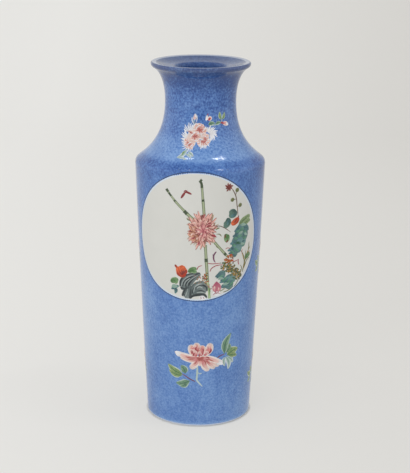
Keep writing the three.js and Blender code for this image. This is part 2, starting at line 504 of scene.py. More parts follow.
def wheel_tree():
    """Turns the line of an object round the axis, starting from the front."""
    tree, given, result = geometry_tree("turn_on_the_wheel", {"Steps round": WHEEL_STEPS})
    line = given["Geometry"]
    size = put(tree, "GeometryNodeAttributeDomainSize", {"Geometry": line}, component="MESH")
    grid, row, sine, cosine = round_grid(tree, given["Steps round"], size.outputs["Point Count"])
    place = out_of(tree, "GeometryNodeInputPosition")
    looked_up = {"Geometry": line, "Value": place, "Index": row}
    found = out_of(tree, "GeometryNodeSampleIndex", looked_up, data_type="FLOAT_VECTOR", domain="POINT")
    radius, _, height = split(tree, found)
    point = vector(tree, product(tree, radius, sine), product(tree, radius, cosine, -1.0), height)
    shaped = out_of(tree, "GeometryNodeSetPosition", {"Geometry": grid, "Position": point})
    hand_over(tree, given, result, closed_up(tree, shaped))
    return tree


wheel = wheel_tree()


def line_mesh(name, line):
    """A line of (radius, height) points in millimetres as a mesh of edges beside the axis."""
    mesh = bpy.data.meshes.new(name)
    points = [(p[0] * MM, 0, p[1] * MM) for p in line]
    mesh.from_pydata(points, [(i, i + 1) for i in range(len(points) - 1)], [])
    return mesh


def turned(name, line, finish, slot, *nodes):
    """A turned piece with the finish that is given, that stands for nodes of the frame. The slot is not used.
    """
    piece = run_tree(name, wheel, line_mesh(name + "_line", line), finish=finish)
    finish_piece(piece, slot, *nodes)


def finish_piece(piece, slot, *nodes, sharp=40):
    """Smooth shading but for sharp folds, the body that the piece rides on, and what it stands for."""
    piece.data.shade_smooth()
    piece.data.set_sharp_from_angle(angle=math.radians(sharp))
    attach(piece, "root")
    if nodes:
        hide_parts(*nodes)
    print(piece.name, "has", len(piece.data.polygons), "faces")


# %% [markdown]
# ## Powder-blue glaze
#
# The blue was blown on as dry powder through gauze, and it never melts quite even: it is a deep ground
# with paler flecks about a millimetre across, patches of a few millimetres, and slow clouds several
# centimetres wide. On the wall the blue is painted darker up to the shoulder's turn and paler on the
# shoulder's slope, as painted shade and painted light from above. Noises of four sizes are added up, and
# their sum leads from a deep blue over a middle one to a pale one. Three lists of heights then say how
# pale, how strong and how light the blue is there, and a fourth how much the flecks show: most on the
# slope and the neck.

# %% Group: powdered cobalt
FLECKS = 480.0
GRAINS = 1700.0
PATCHES = 150.0
CLOUDS = 26.0
FLECK_RANGE = (0.26, 0.74)
GRAIN_STRENGTH = 0.5
PATCH_STRENGTH = 0.4
CLOUD_STRENGTH = 0.9
MIDDLE_TONE = 0.5
PALE_TONE = 1.15


def noise(tree, place, scale, detail, roughness=0.5):
    """A cloudy pattern from 0 to 1. The scale is about the number of lumps in a metre."""
    inputs = {"Vector": place, "Scale": scale, "Detail": detail, "Roughness": roughness}
    return out_of(tree, "ShaderNodeTexNoise", inputs)


def shader_group(name, colours, numbers):
    """An empty shader group: colours and numbers go in, and a colour and a relief come out."""
    inputs = [(label, "Color", None) for label in colours]
    inputs += [(label, "Float", value) for label, value in numbers.items()]
    return new_tree(name, "ShaderNodeTree", inputs, [("Colour", "Color"), ("Relief", "Float")])


def powder_group():
    """Flecks, patches and clouds of a blown glaze, from the place on the vase."""
    tree, given, result = shader_group(
        "powdered_cobalt", ["Deep", "Middle", "Pale"], {"Paleness": 0.0, "Contrast": 1.0}
    )
    place = object_place(tree)
    spread = mapped(tree, noise(tree, place, FLECKS, 3.0, 0.6), *FLECK_RANGE)
    flecks = calc(tree, "MULTIPLY_ADD", calc(tree, "SUBTRACT", spread, 0.5), given["Contrast"], 0.5)
    fine = swing(tree, noise(tree, place, GRAINS, 2.0), GRAIN_STRENGTH)
    uneven = swing(tree, noise(tree, place, PATCHES, 2.0), PATCH_STRENGTH)
    slow = swing(tree, noise(tree, place, CLOUDS, 3.0, 0.55), CLOUD_STRENGTH)
    tone = total(tree, total(tree, flecks, fine), total(tree, slow, uneven, given["Paleness"]))
    first = mixed(tree, mapped(tree, tone, 0.0, MIDDLE_TONE), given["Deep"], given["Middle"])
    second = mixed(tree, mapped(tree, tone, MIDDLE_TONE, PALE_TONE), first, given["Pale"])
    tree.links.new(second, result["Colour"])
    tree.links.new(spread, result["Relief"])
    return tree


powder = powder_group()


# %% Blue glaze materials
GLAZE_IOR = 1.55
MOUTH_IOR = 1.3
BLUE_ROUGHNESS = 0.07
BLUE_RELIEF = 0.15
FLECKS_ON_THE_WALL = [(0, 0.68), (240, 0.68), (300, 0.74), (316, 1.0), (400, 1.0)]


def by_height(tree, pairs):
    """A value that changes up the vase, from (height in millimetres, value) pairs."""
    height = split(tree, object_place(tree))["Z"]
    ramp = put(tree, "ShaderNodeValToRGB", {0: calc(tree, "DIVIDE", height, cad_high.z)})
    ramp.color_ramp.interpolation = "EASE"
    elements = ramp.color_ramp.elements
    elements.remove(elements[0])
    elements[0].position = pairs[0][0] * MM / cad_high.z
    for i, (z, value) in enumerate(pairs):
        element = elements.new(z * MM / cad_high.z) if i else elements[0]
        element.color = (value, value, value, 1)
    return ramp.outputs[0]


def fired(tree, tone, roughness, relief, strength, depth=0.0002, **more):
    """Ends a material: a fired surface with its colour, its roughness and a fine relief."""
    bump = out_of(tree, "ShaderNodeBump", {"Strength": strength, "Distance": depth, "Height": relief})
    inputs = {"Base Color": tone, "Roughness": roughness, "Normal": bump, **more}
    shader = out_of(tree, "ShaderNodeBsdfPrincipled", inputs)
    put(tree, "ShaderNodeOutputMaterial", {"Surface": shader})


def placed(tree, group, colours):
    """A shared group in a material, with its colours set from (name, code) pairs."""
    node = put(tree, "ShaderNodeGroup", None, node_tree=group)
    for label, code in colours:
        node.inputs[label].default_value = colour(code)
    return node


def blue_glaze(name, tones, ior, paleness_at, strong_at, light_at):
    """Glossy speckled blue. Its paleness, which holds painted shade and light, its strength and its lightness
    change up the vase.
    """
    made, tree = material(name)
    group = placed(tree, powder, zip(("Deep", "Middle", "Pale"), tones))
    tree.links.new(calc(tree, "SUBTRACT", by_height(tree, paleness_at), 0.5), group.inputs["Paleness"])
    tree.links.new(by_height(tree, FLECKS_ON_THE_WALL), group.inputs["Contrast"])
    strength = {"Saturation": by_height(tree, strong_at), "Value": by_height(tree, light_at)}
    tone = out_of(tree, "ShaderNodeHueSaturation", {"Color": group.outputs["Colour"], **strength})
    fired(tree, tone, BLUE_ROUGHNESS, group.outputs["Relief"], BLUE_RELIEF, IOR=ior)
    return made


# Painted shade and light: the blue is painted darker on the upper wall up to the shoulder's turn, and paler
# on the shoulder's slope where light from above falls. It is paler at the foot, where the glaze thins, and
# darker up the neck to the lip.
THINNESS_AND_PAINTED_LIGHT_ON_THE_WALL = [
    (0, 1.3), (7, 0.64), (60, 0.64), (110, 0.72), (170, 0.62), (225, 0.48), (258, 0.36), (298, 0.3),
    (304, 0.84), (316, 0.74), (332, 0.46), (352, 0.38), (372, 0.3), (384, 0.08), (397, 0.04),
]
STRONG_ON_THE_WALL = [(0, 0.9), (5, 1.0), (388, 1.0), (395, 0.86), (400, 0.8)]
LIGHT_ON_THE_WALL = [(0, 1.0), (366, 1.0), (382, 0.84), (394, 0.72), (400, 0.76)]
PALE_IN_THE_MOUTH = [(340, 0.5), (380, 0.55), (398, 0.62)]
STRONG_IN_THE_MOUTH = [(340, 0.95), (390, 0.95), (398, 0.8)]
LIGHT_IN_THE_MOUTH = [(340, 1.0), (392, 1.0), (400, 0.85)]
WALL_BLUES = ("2a5096", "5680c0", "86abdc")
# The mouth's blues are its own duller glaze, painted darker also as the shade inside the mouth, and paler
# towards the rim.
SHADED_MOUTH_BLUES = ("1e3d74", "2c508e", "4c72a6")
outer_blue = blue_glaze(
    "powder_blue_glaze", WALL_BLUES, GLAZE_IOR, THINNESS_AND_PAINTED_LIGHT_ON_THE_WALL, STRONG_ON_THE_WALL, LIGHT_ON_THE_WALL
)
mouth_blue = blue_glaze(
    "mouth_blue_glaze", SHADED_MOUTH_BLUES, MOUTH_IOR, PALE_IN_THE_MOUTH, STRONG_IN_THE_MOUTH, LIGHT_IN_THE_MOUTH
)


# %% [markdown]
# ## White glaze and bare clay
#
# The foot ring is bare, so it shows what all the rest stands on: fired clay, matt and a little grainy.
# White glaze is clear and glossy over that clay. A plain colour would look like plastic, so both get a
# faint mottle, in the colour and in the relief, from one function with different numbers.

# %% White glaze and clay
FAINT_RELIEF = 0.05
CLAY_RELIEF = 0.3


def plain_ceramic(name, tone, shade, roughness, bump_strength, scale):
    """A pale fired surface with a faint mottle in its colour and relief."""
    made, tree = material(name)
    mottle = noise(tree, object_place(tree), scale, 4.0)
    fired(tree, mixed(tree, mottle, colour(tone), colour(shade)), roughness, mottle, bump_strength)
    return made


white_glaze = plain_ceramic("white_glaze", "dddfd8", "d7dad2", 0.18, FAINT_RELIEF, 60.0)
lip_white = plain_ceramic("lip_glaze", "b0b8c8", "8f9bb4", 0.12, FAINT_RELIEF, 90.0)
clay = plain_ceramic("fired_clay", "e2e8f0", "d2d8e2", 0.75, CLAY_RELIEF, 900.0)
slip_clay = plain_ceramic("fired_slip", "f1ede4", "e3dccd", 0.8, CLAY_RELIEF, 700.0)

for name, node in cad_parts.items():
    finish = slip_clay if name.endswith("slip") else clay
    node.data.materials.clear()
    node.data.materials.append(finish)

# %% [markdown]
# ## The glazed body
#
# Each coat is its own thin shell with a free face and a face against the clay. Only the foot ring is
# left bare. A white line, where the glaze was wiped off the lip, parts the blue outside from the
# duller blue of the mouth, which is painted darker also as the shade inside the mouth, and clear white
# glaze lines the rest of the inside and the foot's recess.

# %% Turned pieces
CLEARANCE = 0.02
WHITE_LINE_START = 13
WHITE_LINE_END = 5
BACK_EVERY = 6


def shell(line):
    """A closed line round a coat of glaze: its free face, then back along the clay."""
    face = moved(line, GLAZE)
    back = moved(line, CLEARANCE)
    thin_back = back[-1:0:-BACK_EVERY] + back[:1]
    return face + thin_back + face[:1]


rest_of_mouth = joined(mouth[WHITE_LINE_END:], inside)
mouth_end = min(range(len(rest_of_mouth)), key=lambda i: abs(rest_of_mouth[i].y - MOUTH_BOTTOM))
outer_line = joined(outside, lip[:WHITE_LINE_START + 1])
white_line = joined(lip[WHITE_LINE_START:], mouth[:WHITE_LINE_END + 1])
turned("blue_coat", shell(outer_line), outer_blue, "blue_glaze", "powder_blue_glaze")
turned("lip_white_line", shell(white_line), lip_white, "white_glaze", "rim_glaze")
turned("mouth_blue_coat", shell(rest_of_mouth[:mouth_end + 1]), mouth_blue, "blue_glaze", "mouth_blue_glaze")

lining = rest_of_mouth[mouth_end:]
lining_back = moved(lining, CLEARANCE)
lining_back[-1].x = 0
lining_face = moved(lining, GLAZE)
lining_face[-1].x = 0
turned("white_lining", lining_back[::-1] + lining_face, white_glaze, "white_glaze", "inner_glaze")

FOOT_BEVEL = 1.4
RING_INNER = 50.5
RECESS = 8.0
RECESS_TAPER = 1.5
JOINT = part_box("base_section")[1].z / MM
recess_edge = RING_INNER - 2 * RECESS_TAPER
underside = [
    (0, RECESS),
    (recess_edge, RECESS),
    (RING_INNER - RECESS_TAPER, RECESS - RECESS_TAPER),
    (RING_INNER, FOOT_BEVEL / 2),
    (RING_INNER + FOOT_BEVEL / 2, 0),
    (FOOT_RADIUS - FOOT_BEVEL, 0),
    (FOOT_RADIUS, FOOT_BEVEL),
]
base_outside = [p for p in outside if p.y < JOINT]
base_inside = [p for p in inside if p.y < JOINT]
turned("foot_and_lower_wall", underside + base_outside + base_inside, clay, "clay", "base_section")

recess_glaze = [
    (0, RECESS - GLAZE),
    (recess_edge - 1.6, RECESS - GLAZE),
    (recess_edge - 1, RECESS - CLEARANCE),
    (0, RECESS - CLEARANCE),
]
turned("recess_white_glaze", recess_glaze, white_glaze, "white_glaze", "recess_glaze")

# %% [markdown]
# ## Two streaks of light on the shoulder
#
# Two narrow lamps show in the glaze of the shoulder as streaks that follow its curve. A lamp is seen
# at the spot where the glaze turns its light into the lens. So a streak's two ends are chosen first,
# and each end of the lamp is put where the way from the lens goes on after the glaze mirrors it. A
# streak is written as its name, the turn from the front where it starts and ends, its height, and how
# bright it is.

# %% Streaks on the shoulder
outer_face = moved(outer_line, GLAZE)
SHINE_DISTANCE = 2.2
SHINE_HEIGHT = 0.03
SHOULDER_SHINE = [("right_lamp", 17.0, 29.0, 304.6, 70.0), ("left_lamp", -16.0, -5.0, 304.2, 44.0)]


def mirrored_way(degrees, height):
    """A spot on the outer glaze, and the way on which a ray from the lens leaves it."""
    row = next(i for i, p in enumerate(outer_face) if p.y >= height)
    climb = (outer_face[row + 1] - outer_face[row - 1]).normalized()
    facing = Matrix.Rotation(math.radians(degrees), 3, "Z")
    out = facing @ Vector((0, -climb.y, -climb.x))
    spot = facing @ Vector((0, -outer_face[row].x, outer_face[row].y)) * MM
    to_lens = (camera.location - spot).normalized()
    return spot, 2 * out.dot(to_lens) * out - to_lens


for name, start, stop, height, brightness in SHOULDER_SHINE:
    ends = [spot + way * SHINE_DISTANCE for spot, way in (mirrored_way(d, height) for d in (start, stop))]
    spot = mirrored_way((start + stop) / 2, height)[0]
    line = ends[1] - ends[0]
    power = brightness * math.pi * line.length * SHINE_HEIGHT
    lamp(name, (ends[0] + ends[1]) / 2, spot, line.length, SHINE_HEIGHT, power, along=line)

# %% [markdown]
# ## Laying a flat drawing on a curved wall
#
# The painter works on the curved wall, but a drawing is easiest to write flat: x is the distance round
# the wall from the drawing's middle, y is the distance up the outline, and z is how high the enamel
# stands. The tree below walks up the outline by y, which gives a radius, a height and the way out, and
# then turns about the axis by x divided by that radius. Nothing is stretched by more than the wall is.

# %% Tree: lay a flat piece on the glaze
outline_object = bpy.data.objects.new("glaze_outline", line_mesh("glaze_outline", outer_face))


def distance_up(z):
    """The distance along the glazed outline from the foot up to a height, in millimetres."""
    total = 0.0
    for a, b in zip(outer_face, outer_face[1:]):
        if b.y >= z:
            return total + (b - a).length * (z - a.y) / (b.y - a.y)
        total += (b - a).length
    return total


def lay_tree():
    """Bends a flat mesh onto the glazed outline, at a distance up it and a turn round the axis."""
    tree, given, result = geometry_tree(
        "lay_on_the_glaze", {"Outline": None, "Distance up": 0.0, "Turn": 0.0, "Mirror": 1.0}
    )
    line = put(tree, "GeometryNodeObjectInfo", {"Object": given["Outline"]}).outputs["Geometry"]
    curve = out_of(tree, "GeometryNodeMeshToCurve", {"Mesh": line})
    x, y, lift = split(tree, out_of(tree, "GeometryNodeInputPosition"))
    asked = {"Curves": curve, "Length": calc(tree, "ADD", y, given["Distance up"])}
    wall = put(tree, "GeometryNodeSampleCurve", asked, mode="LENGTH", use_all_curves=True).outputs
    radius, _, height = split(tree, wall["Position"])
    inward, _, upward = split(tree, wall["Tangent"])
    raised_radius = calc(tree, "MULTIPLY_ADD", lift, upward, radius)
    raised_height = calc(tree, "SUBTRACT", height, product(tree, lift, inward))
    round_wall = product(tree, calc(tree, "DIVIDE", x, radius), given["Mirror"])
    angle = total(tree, round_wall, given["Turn"])
    across = product(tree, raised_radius, calc(tree, "SINE", angle))
    front = product(tree, raised_radius, calc(tree, "COSINE", angle), -1.0)
    place = vector(tree, across, front, raised_height)
    laid = out_of(tree, "GeometryNodeSetPosition", {"Geometry": given["Geometry"], "Position": place})
    sides = {"A": given["Mirror"], "B": 0.0}
    mirrored = out_of(tree, "FunctionNodeCompare", sides, data_type="FLOAT", operation="LESS_THAN")
    turned_over = out_of(tree, "GeometryNodeFlipFaces", {"Mesh": laid, "Selection": mirrored})
    hand_over(tree, given, result, turned_over)
    return tree


laying = lay_tree()


def laid(name, flat, finish, slot, height, turn_degrees, mirror=1.0, nodes=()):
    """A flat mesh laid on the glaze, with its middle at a height and a turn from the front."""
    turn, up = math.radians(turn_degrees), distance_up(height) * MM
    place = {"outline": outline_object, "distance_up": up, "turn": turn, "mirror": mirror}
    finish_piece(run_tree(name, laying, flat, finish=finish, **place), slot, *nodes, sharp=60)


# %% [markdown]
# ## The round windows
#
# The windows were masked by hand before the blue was blown on, so they aren't true circles: they are a
# little wider than high, and fuller below the middle. White glaze fills each one. The tree makes a flat
# lens with that outline, closed underneath, and the tree above lays it on the wall.

# %% Tree: white glaze in a window
window_low, window_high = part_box("front_reserve_glaze")
WINDOW_LINE = 0.3
WINDOW_MIDDLE = (window_low.z + window_high.z) / 2 / MM
WINDOW_HALF_HEIGHT = (window_high.z - window_low.z) / 2 / MM + WINDOW_LINE
WINDOW_WIDER = 4.0
WINDOW_FULLER = 5.0
WINDOW_RISE = 0.05
WINDOW_ROUNDING = 60.0
WINDOW_WHITES = (colour("d7d7d0"), colour("dddcd6"))
WINDOW_MOTTLE = 45.0
WINDOW_ROUGHNESS = 0.16
HALO = colour("cfdff2")
HALO_REACH = (0.972, 0.99)
PAST_THE_EDGE = 1.001


def attribute(tree, name):
    """A value that a geometry tree stored under a name, for a material."""
    return put(tree, "ShaderNodeAttribute", attribute_name=name).outputs["Fac"]


def stored(tree, geometry, name, value, domain="POINT"):
    """The geometry with a value stored under a name, for a later step or for a material."""
    inputs = {"Geometry": geometry, "Name": name, "Value": value}
    return out_of(tree, "GeometryNodeStoreNamedAttribute", inputs, domain=domain)


def window_tree():
    """A closed round sheet with the windows' outline, flat, with its share of the way out stored."""
    sizes = {"Steps": 180, "Rings": 60, "Half height": 0.07, "Wider": 0.004, "Fuller": 0.005}
    tree, given, result = geometry_tree("window_glaze", {**sizes, "Rise": 0.0001, "Thickness": 0.0004})
    rows = total(tree, product(tree, given["Rings"], 2), 1)
    grid, row, sine, cosine = round_grid(tree, given["Steps"], rows)
    doubled = calc(tree, "DIVIDE", row, given["Rings"])
    underneath = calc(tree, "GREATER_THAN", doubled, PAST_THE_EDGE)
    share = calc(tree, "SUBTRACT", 1.0, calc(tree, "ABSOLUTE", calc(tree, "SUBTRACT", doubled, 1.0)))
    fuller = calc(tree, "SUBTRACT", given["Wider"], product(tree, given["Fuller"], sine))
    reach = calc(tree, "MULTIPLY_ADD", product(tree, cosine, cosine), fuller, given["Half height"])
    radius = product(tree, reach, share)
    rounded = product(tree, given["Rise"], calc(tree, "POWER", share, WINDOW_ROUNDING))
    top = calc(tree, "SUBTRACT", given["Rise"], rounded)
    lift = calc(tree, "SUBTRACT", top, product(tree, underneath, given["Thickness"]))
    place = vector(tree, product(tree, radius, cosine, -1.0), product(tree, radius, sine), lift)
    shaped = out_of(tree, "GeometryNodeSetPosition", {"Geometry": grid, "Position": place})
    hand_over(tree, given, result, closed_up(tree, stored(tree, shaped, "out", share)))
    return tree


def window_glaze():
    """White glaze with a cold pale halo where it runs up against the blue."""
    made, tree = material("window_white_glaze")
    mottle = noise(tree, object_place(tree), WINDOW_MOTTLE, 3.0)
    ground = mixed(tree, mottle, *WINDOW_WHITES)
    halo = mapped(tree, attribute(tree, "out"), *HALO_REACH)
    fired(tree, mixed(tree, halo, ground, HALO), WINDOW_ROUGHNESS, mottle, FAINT_RELIEF)
    return made


window = window_tree()
window_white = window_glaze()
for name, side in (("front", 0), ("back", 180)):
    flat = run_tree(
        "flat_window",
        window,
        half_height=WINDOW_HALF_HEIGHT * MM,
        wider=WINDOW_WIDER * MM,
        fuller=WINDOW_FULLER * MM,
        rise=WINDOW_RISE * MM,
        thickness=GLAZE * MM,
        finish=window_white,
    )
    stands_for = [name + "_reserve_glaze"]
    laid(name + "_window", flat.data, window_white, "white_glaze", WINDOW_MIDDLE, side, nodes=stands_for)
    bpy.data.objects.remove(flat)

# %% [markdown]
# ## Brush strokes
#
# Overglaze enamel is laid on thick with a loaded brush, and it stands up from the glaze in low domes
# with pale edges. Almost everything in the painting is one stroke or another: a leaf is a stroke that
# swells and comes to a point, a petal swells late and ends round, a stem is a thin even one. So one
# tree makes them all: it smooths each chain of points, gives it a width that follows the kind of
# stroke, and sweeps a flat ring along it. The ring's top points rise into a dome, and one point closes
# it underneath. Three numbers are stored on the way for the colours: how far along the stroke a point
# is, how far across it, and a tint of the stroke's own.

# %% Tree: brush strokes of one kind
BRUSH_ROWS = 18
BRUSH_COLUMNS = 7
STROKE_SEAM = 2e-6
STROKE_SHAPES = {
    "leaf": [(0, 0.0), (0.12, 0.42), (0.4, 1.0), (0.72, 0.72), (1, 0.0)],
    "round": [(0, 0.0), (0.1, 0.6), (0.45, 1.0), (0.85, 0.75), (1, 0.0)],
    "petal": [(0, 0.12), (0.3, 0.5), (0.68, 1.0), (0.9, 0.8), (1, 0.0)],
    "spike": [(0, 0.35), (0.35, 0.85), (0.6, 1.0), (0.85, 0.6), (1, 0.0)],
    "line": [(0, 0.3), (0.1, 0.9), (0.6, 1.0), (1, 0.2)],
    "cane": [(0, 1.0), (0.5, 0.9), (1, 1.0)],
}


def recalled(tree, name):
    """A value that was stored under a name."""
    return put(tree, "GeometryNodeInputNamedAttribute", {"Name": name}).outputs["Attribute"]


def smoothed(tree, chains):
    """Chains of edges as smooth curves through the same points."""
    curves = out_of(tree, "GeometryNodeMeshToCurve", {"Mesh": chains})
    return out_of(tree, "GeometryNodeCurveSplineType", {"Curve": curves}, spline_type="CATMULL_ROM")


def chance(tree, low, high, number, seed, kind="FLOAT"):
    """A chance value for each number, between a low one and a high one, from a fixed seed."""
    inputs = {"Min": low, "Max": high, "ID": number, "Seed": seed}
    return out_of(tree, "FunctionNodeRandomValue", inputs, data_type=kind)


def brush_tree(kind, shape):
    """Turns chains of points, each with a half width, into low domes that are closed underneath."""
    sizes = {"Rows": BRUSH_ROWS, "Columns": BRUSH_COLUMNS, "Thickness": 0.0001, "Seed": 0}
    tree, given, result = geometry_tree("brush_" + kind, sizes)
    smooth = {"Curve": smoothed(tree, given["Geometry"]), "Count": given["Rows"]}
    even = out_of(tree, "GeometryNodeResampleCurve", smooth)
    marked = stored(tree, even, "along", put(tree, "GeometryNodeSplineParameter").outputs["Factor"])
    number = out_of(tree, "GeometryNodeInputIndex")
    tinted = stored(tree, marked, "tint", chance(tree, 0.0, 1.0, number, given["Seed"]), "CURVE")
    swell = put(tree, "ShaderNodeFloatCurve", {"Value": recalled(tree, "along")})
    curve = swell.mapping.curves[0]
    for place, value in shape[1:-1]:
        curve.points.new(place, value)
    curve.points[0].location = shape[0]
    curve.points[-1].location = shape[-1]
    swell.mapping.update()
    columns = given["Columns"]
    circle = out_of(tree, "GeometryNodeCurvePrimitiveCircle", {"Resolution": total(tree, columns, 1)})
    on_top = calc(tree, "LESS_THAN", number, calc(tree, "SUBTRACT", columns, 0.5))
    step = calc(tree, "DIVIDE", 2.0, calc(tree, "SUBTRACT", columns, 1))
    sideways = product(tree, calc(tree, "MULTIPLY_ADD", number, step, -1.0), on_top)
    section = stored(tree, stored(tree, circle, "across", sideways), "on_top", on_top)
    ring = out_of(tree, "GeometryNodeSetPosition", {"Geometry": section, "Position": vector(tree, sideways)})
    path = out_of(tree, "GeometryNodeSetCurveNormal", {"Curve": tinted}, mode="Z_UP")
    width = product(tree, recalled(tree, "half_width"), swell.outputs[0])
    swept_along = {"Curve": path, "Profile Curve": ring, "Scale": width, "Fill Caps": True}
    swept = out_of(tree, "GeometryNodeCurveToMesh", swept_along)
    across = recalled(tree, "across")
    bulge = calc(tree, "SUBTRACT", 1.0, product(tree, across, across))
    rise = product(tree, bulge, recalled(tree, "on_top"), given["Thickness"], swell.outputs[0])
    raised = out_of(tree, "GeometryNodeSetPosition", {"Geometry": swept, "Offset": vector(tree, z=rise)})
    hand_over(tree, given, result, closed_up(tree, raised, STROKE_SEAM))
    return tree


brushes = {kind: brush_tree(kind, shape) for kind, shape in STROKE_SHAPES.items()}

# %% [markdown]
# ## Dots of enamel
#
# Moss, stamens and the loose foliage are dabbed on with the tip of the brush. A tree walks along a chain
# of points, drops a low round dot at each step, and lets chance move it aside and change its size.

# %% Tree: dots along chains
DOT_HEIGHT = 0.12
DOT_SIZES = (0.55, 1.2)
SIZE_SEED = 7


def dots_tree():
    """Scatters low round dots along chains of points."""
    sizes = {"Spacing": 0.001, "Scatter": 0.001, "Size": 0.0005, "Seed": 0}
    tree, given, result = geometry_tree("scatter_dots", sizes)
    chains = {"Curve": smoothed(tree, given["Geometry"]), "Length": given["Spacing"]}
    points = out_of(tree, "GeometryNodeCurveToPoints", chains, mode="LENGTH")
    number = out_of(tree, "GeometryNodeInputIndex")
    drift = chance(tree, (-1, -1, 0), (1, 1, 0), number, given["Seed"], "FLOAT_VECTOR")
    offset = out_of(tree, "ShaderNodeVectorMath", {0: drift, "Scale": given["Scatter"]}, operation="SCALE")
    spread = out_of(tree, "GeometryNodeSetPosition", {"Geometry": points, "Offset": offset})
    fullness = chance(tree, *DOT_SIZES, number, total(tree, given["Seed"], SIZE_SEED))
    across = product(tree, fullness, given["Size"])
    ball = out_of(tree, "GeometryNodeMeshIcoSphere", {"Radius": 1.0, "Subdivisions": 2})
    scale = vector(tree, across, across, DOT_HEIGHT * MM)
    scattered = {"Points": spread, "Instance": ball, "Scale": scale}
    placed_dots = out_of(tree, "GeometryNodeInstanceOnPoints", scattered)
    hand_over(tree, given, result, stored(tree, placed_dots, "tint", fullness, "INSTANCE"))
    return tree


dots = dots_tree()

# %% Chains of points
LAYER = 0.05
STROKES_IN_STEPS = 5
STROKE_STEP = 0.2


def chains_mesh(strokes, layer):
    """Strokes, each (half width, points) in millimetres, as chains of edges that carry the half width.
    Neighbours lie at slightly different heights, so that no two faces fall together where they cross."""
    points, edges, widths = [], [], []
    for number, (half_width, chain) in enumerate(strokes):
        first = len(points)
        lift = (layer + number % STROKES_IN_STEPS * STROKE_STEP) * LAYER
        points += [(x * MM, y * MM, lift * MM) for x, y in chain]
        edges += [(first + i, first + i + 1) for i in range(len(chain) - 1)]
        widths += [half_width * MM] * len(chain)
    mesh = bpy.data.meshes.new("chains")
    mesh.from_pydata(points, edges, [])
    mesh.attributes.new("half_width", "FLOAT", "POINT").data.foreach_set("value", widths)
    return mesh


class Motif:
    """A place on the vase where a drawing goes: its name, height, turn from the front, and how it lies."""

    def __init__(self, name, height, turn, mirror=1.0, seed=0):
        self.name = name
        self.height = height
        self.turn = turn
        self.mirror = mirror
        self.seed = seed

    def paint(self, part, kind, finish, layer, strokes, rows=BRUSH_ROWS, columns=BRUSH_COLUMNS, thick=0.09):
        """Paints strokes of one kind and one enamel as one piece."""
        sizes = {"rows": rows, "columns": columns, "thickness": thick * MM, "seed": self.seed + len(strokes)}
        flat = run_tree("flat", brushes[kind], chains_mesh(strokes, layer), finish=finish, **sizes)
        self.place(part, flat, finish)

    def dot(self, part, finish, chains, spacing, scatter, size, layer):
        """Scatters low dots of one enamel along chains of points."""
        seed = self.seed + int(10 * spacing)
        sizes = {"spacing": spacing * MM, "scatter": scatter * MM, "size": size * MM, "seed": seed}
        lines = chains_mesh([(size, chain) for chain in chains], layer)
        self.place(part, run_tree("flat", dots, lines, finish=finish, **sizes), finish)

    def place(self, part, flat, finish):
        """Lays a flat object in this motif, and removes the flat one."""
        laid(self.name + "_" + part, flat.data, finish, "enamel", self.height, self.turn, self.mirror)
        bpy.data.objects.remove(flat)


# %% [markdown]
# ## Enamel colours
#
# All the enamels share one way of taking colour. It starts at the root of the stroke with one colour
# and ends at the tip with another, turns to a third colour at its edges, and can carry a vein down its
# middle and finer ones at its sides. Streaks run along it, as brush hairs leave them. The enamels
# themselves are a list of those colours, written as root, tip, edge and vein, and of what differs.

# %% Group: enamel wash
HAIR_CHANCE = 40.0
HAIRS_ACROSS = 3.2
HAIRS_ALONG = 1.6
VEIN_FROM = 0.6
VEIN_SLANT = 0.22
SIDE_VEIN = (0.8, 0.98)
SIDE_VEIN_REACH = 0.78
SIDE_VEIN_STRENGTH = 0.75
EDGE_FADE = 0.22
ENAMEL_ROUGHNESS = 0.22
ENAMEL_RELIEF = 0.15
ENAMEL_DEPTH = 0.0001


def enamel_group():
    """Colour and relief of a brush stroke from how far along and across it a point is."""
    numbers = {"Tip from": 0.3, "Edge from": 0.7, "Vein width": 0.0, "Side veins": 0.0}
    numbers.update({"Streaks": 0.4, "Tint range": 0.12})
    tree, given, result = shader_group("enamel_wash", ["Root", "Tip", "Edge", "Vein"], numbers)
    along, across, tint = (attribute(tree, name) for name in ("along", "across", "tint"))
    aside = calc(tree, "ABSOLUTE", across)
    own = product(tree, tint, HAIR_CHANCE)
    sideways = calc(tree, "MULTIPLY_ADD", across, HAIRS_ACROSS, own)
    hairs = noise(tree, vector(tree, sideways, product(tree, along, HAIRS_ALONG), own), 1.0, 3.0)
    hair_shift = product(tree, calc(tree, "SUBTRACT", hairs, 0.5), given["Streaks"])
    reached = calc(tree, "MULTIPLY_ADD", hair_shift, 2.0, along)
    body = mixed(tree, mapped(tree, reached, given["Tip from"], 1.0), given["Root"], given["Tip"])
    tint_shift = product(tree, calc(tree, "SUBTRACT", tint, 0.5), given["Tint range"])
    bright = total(tree, 1.0, tint_shift, product(tree, hair_shift, 0.5))
    tinted = out_of(tree, "ShaderNodeHueSaturation", {"Color": body, "Value": bright})
    vein_width = given["Vein width"]
    middle = mapped(tree, aside, product(tree, vein_width, VEIN_FROM), vein_width, 1.0, 0.0)
    has_vein = calc(tree, "GREATER_THAN", vein_width, 0.001)
    slanted = calc(tree, "SUBTRACT", along, product(tree, aside, VEIN_SLANT))
    wave = calc(tree, "SINE", product(tree, slanted, product(tree, given["Side veins"], math.tau)))
    inner = calc(tree, "LESS_THAN", aside, SIDE_VEIN_REACH)
    side = product(tree, mapped(tree, wave, *SIDE_VEIN), inner, SIDE_VEIN_STRENGTH)
    veins = calc(tree, "MAXIMUM", product(tree, middle, has_vein), side)
    veined = mixed(tree, veins, tinted, given["Vein"])
    edge = given["Edge from"]
    rim = mapped(tree, total(tree, aside, hair_shift), edge, total(tree, edge, EDGE_FADE))
    tree.links.new(mixed(tree, rim, veined, given["Edge"]), result["Colour"])
    tree.links.new(hairs, result["Relief"])
    return tree


enamel_wash = enamel_group()


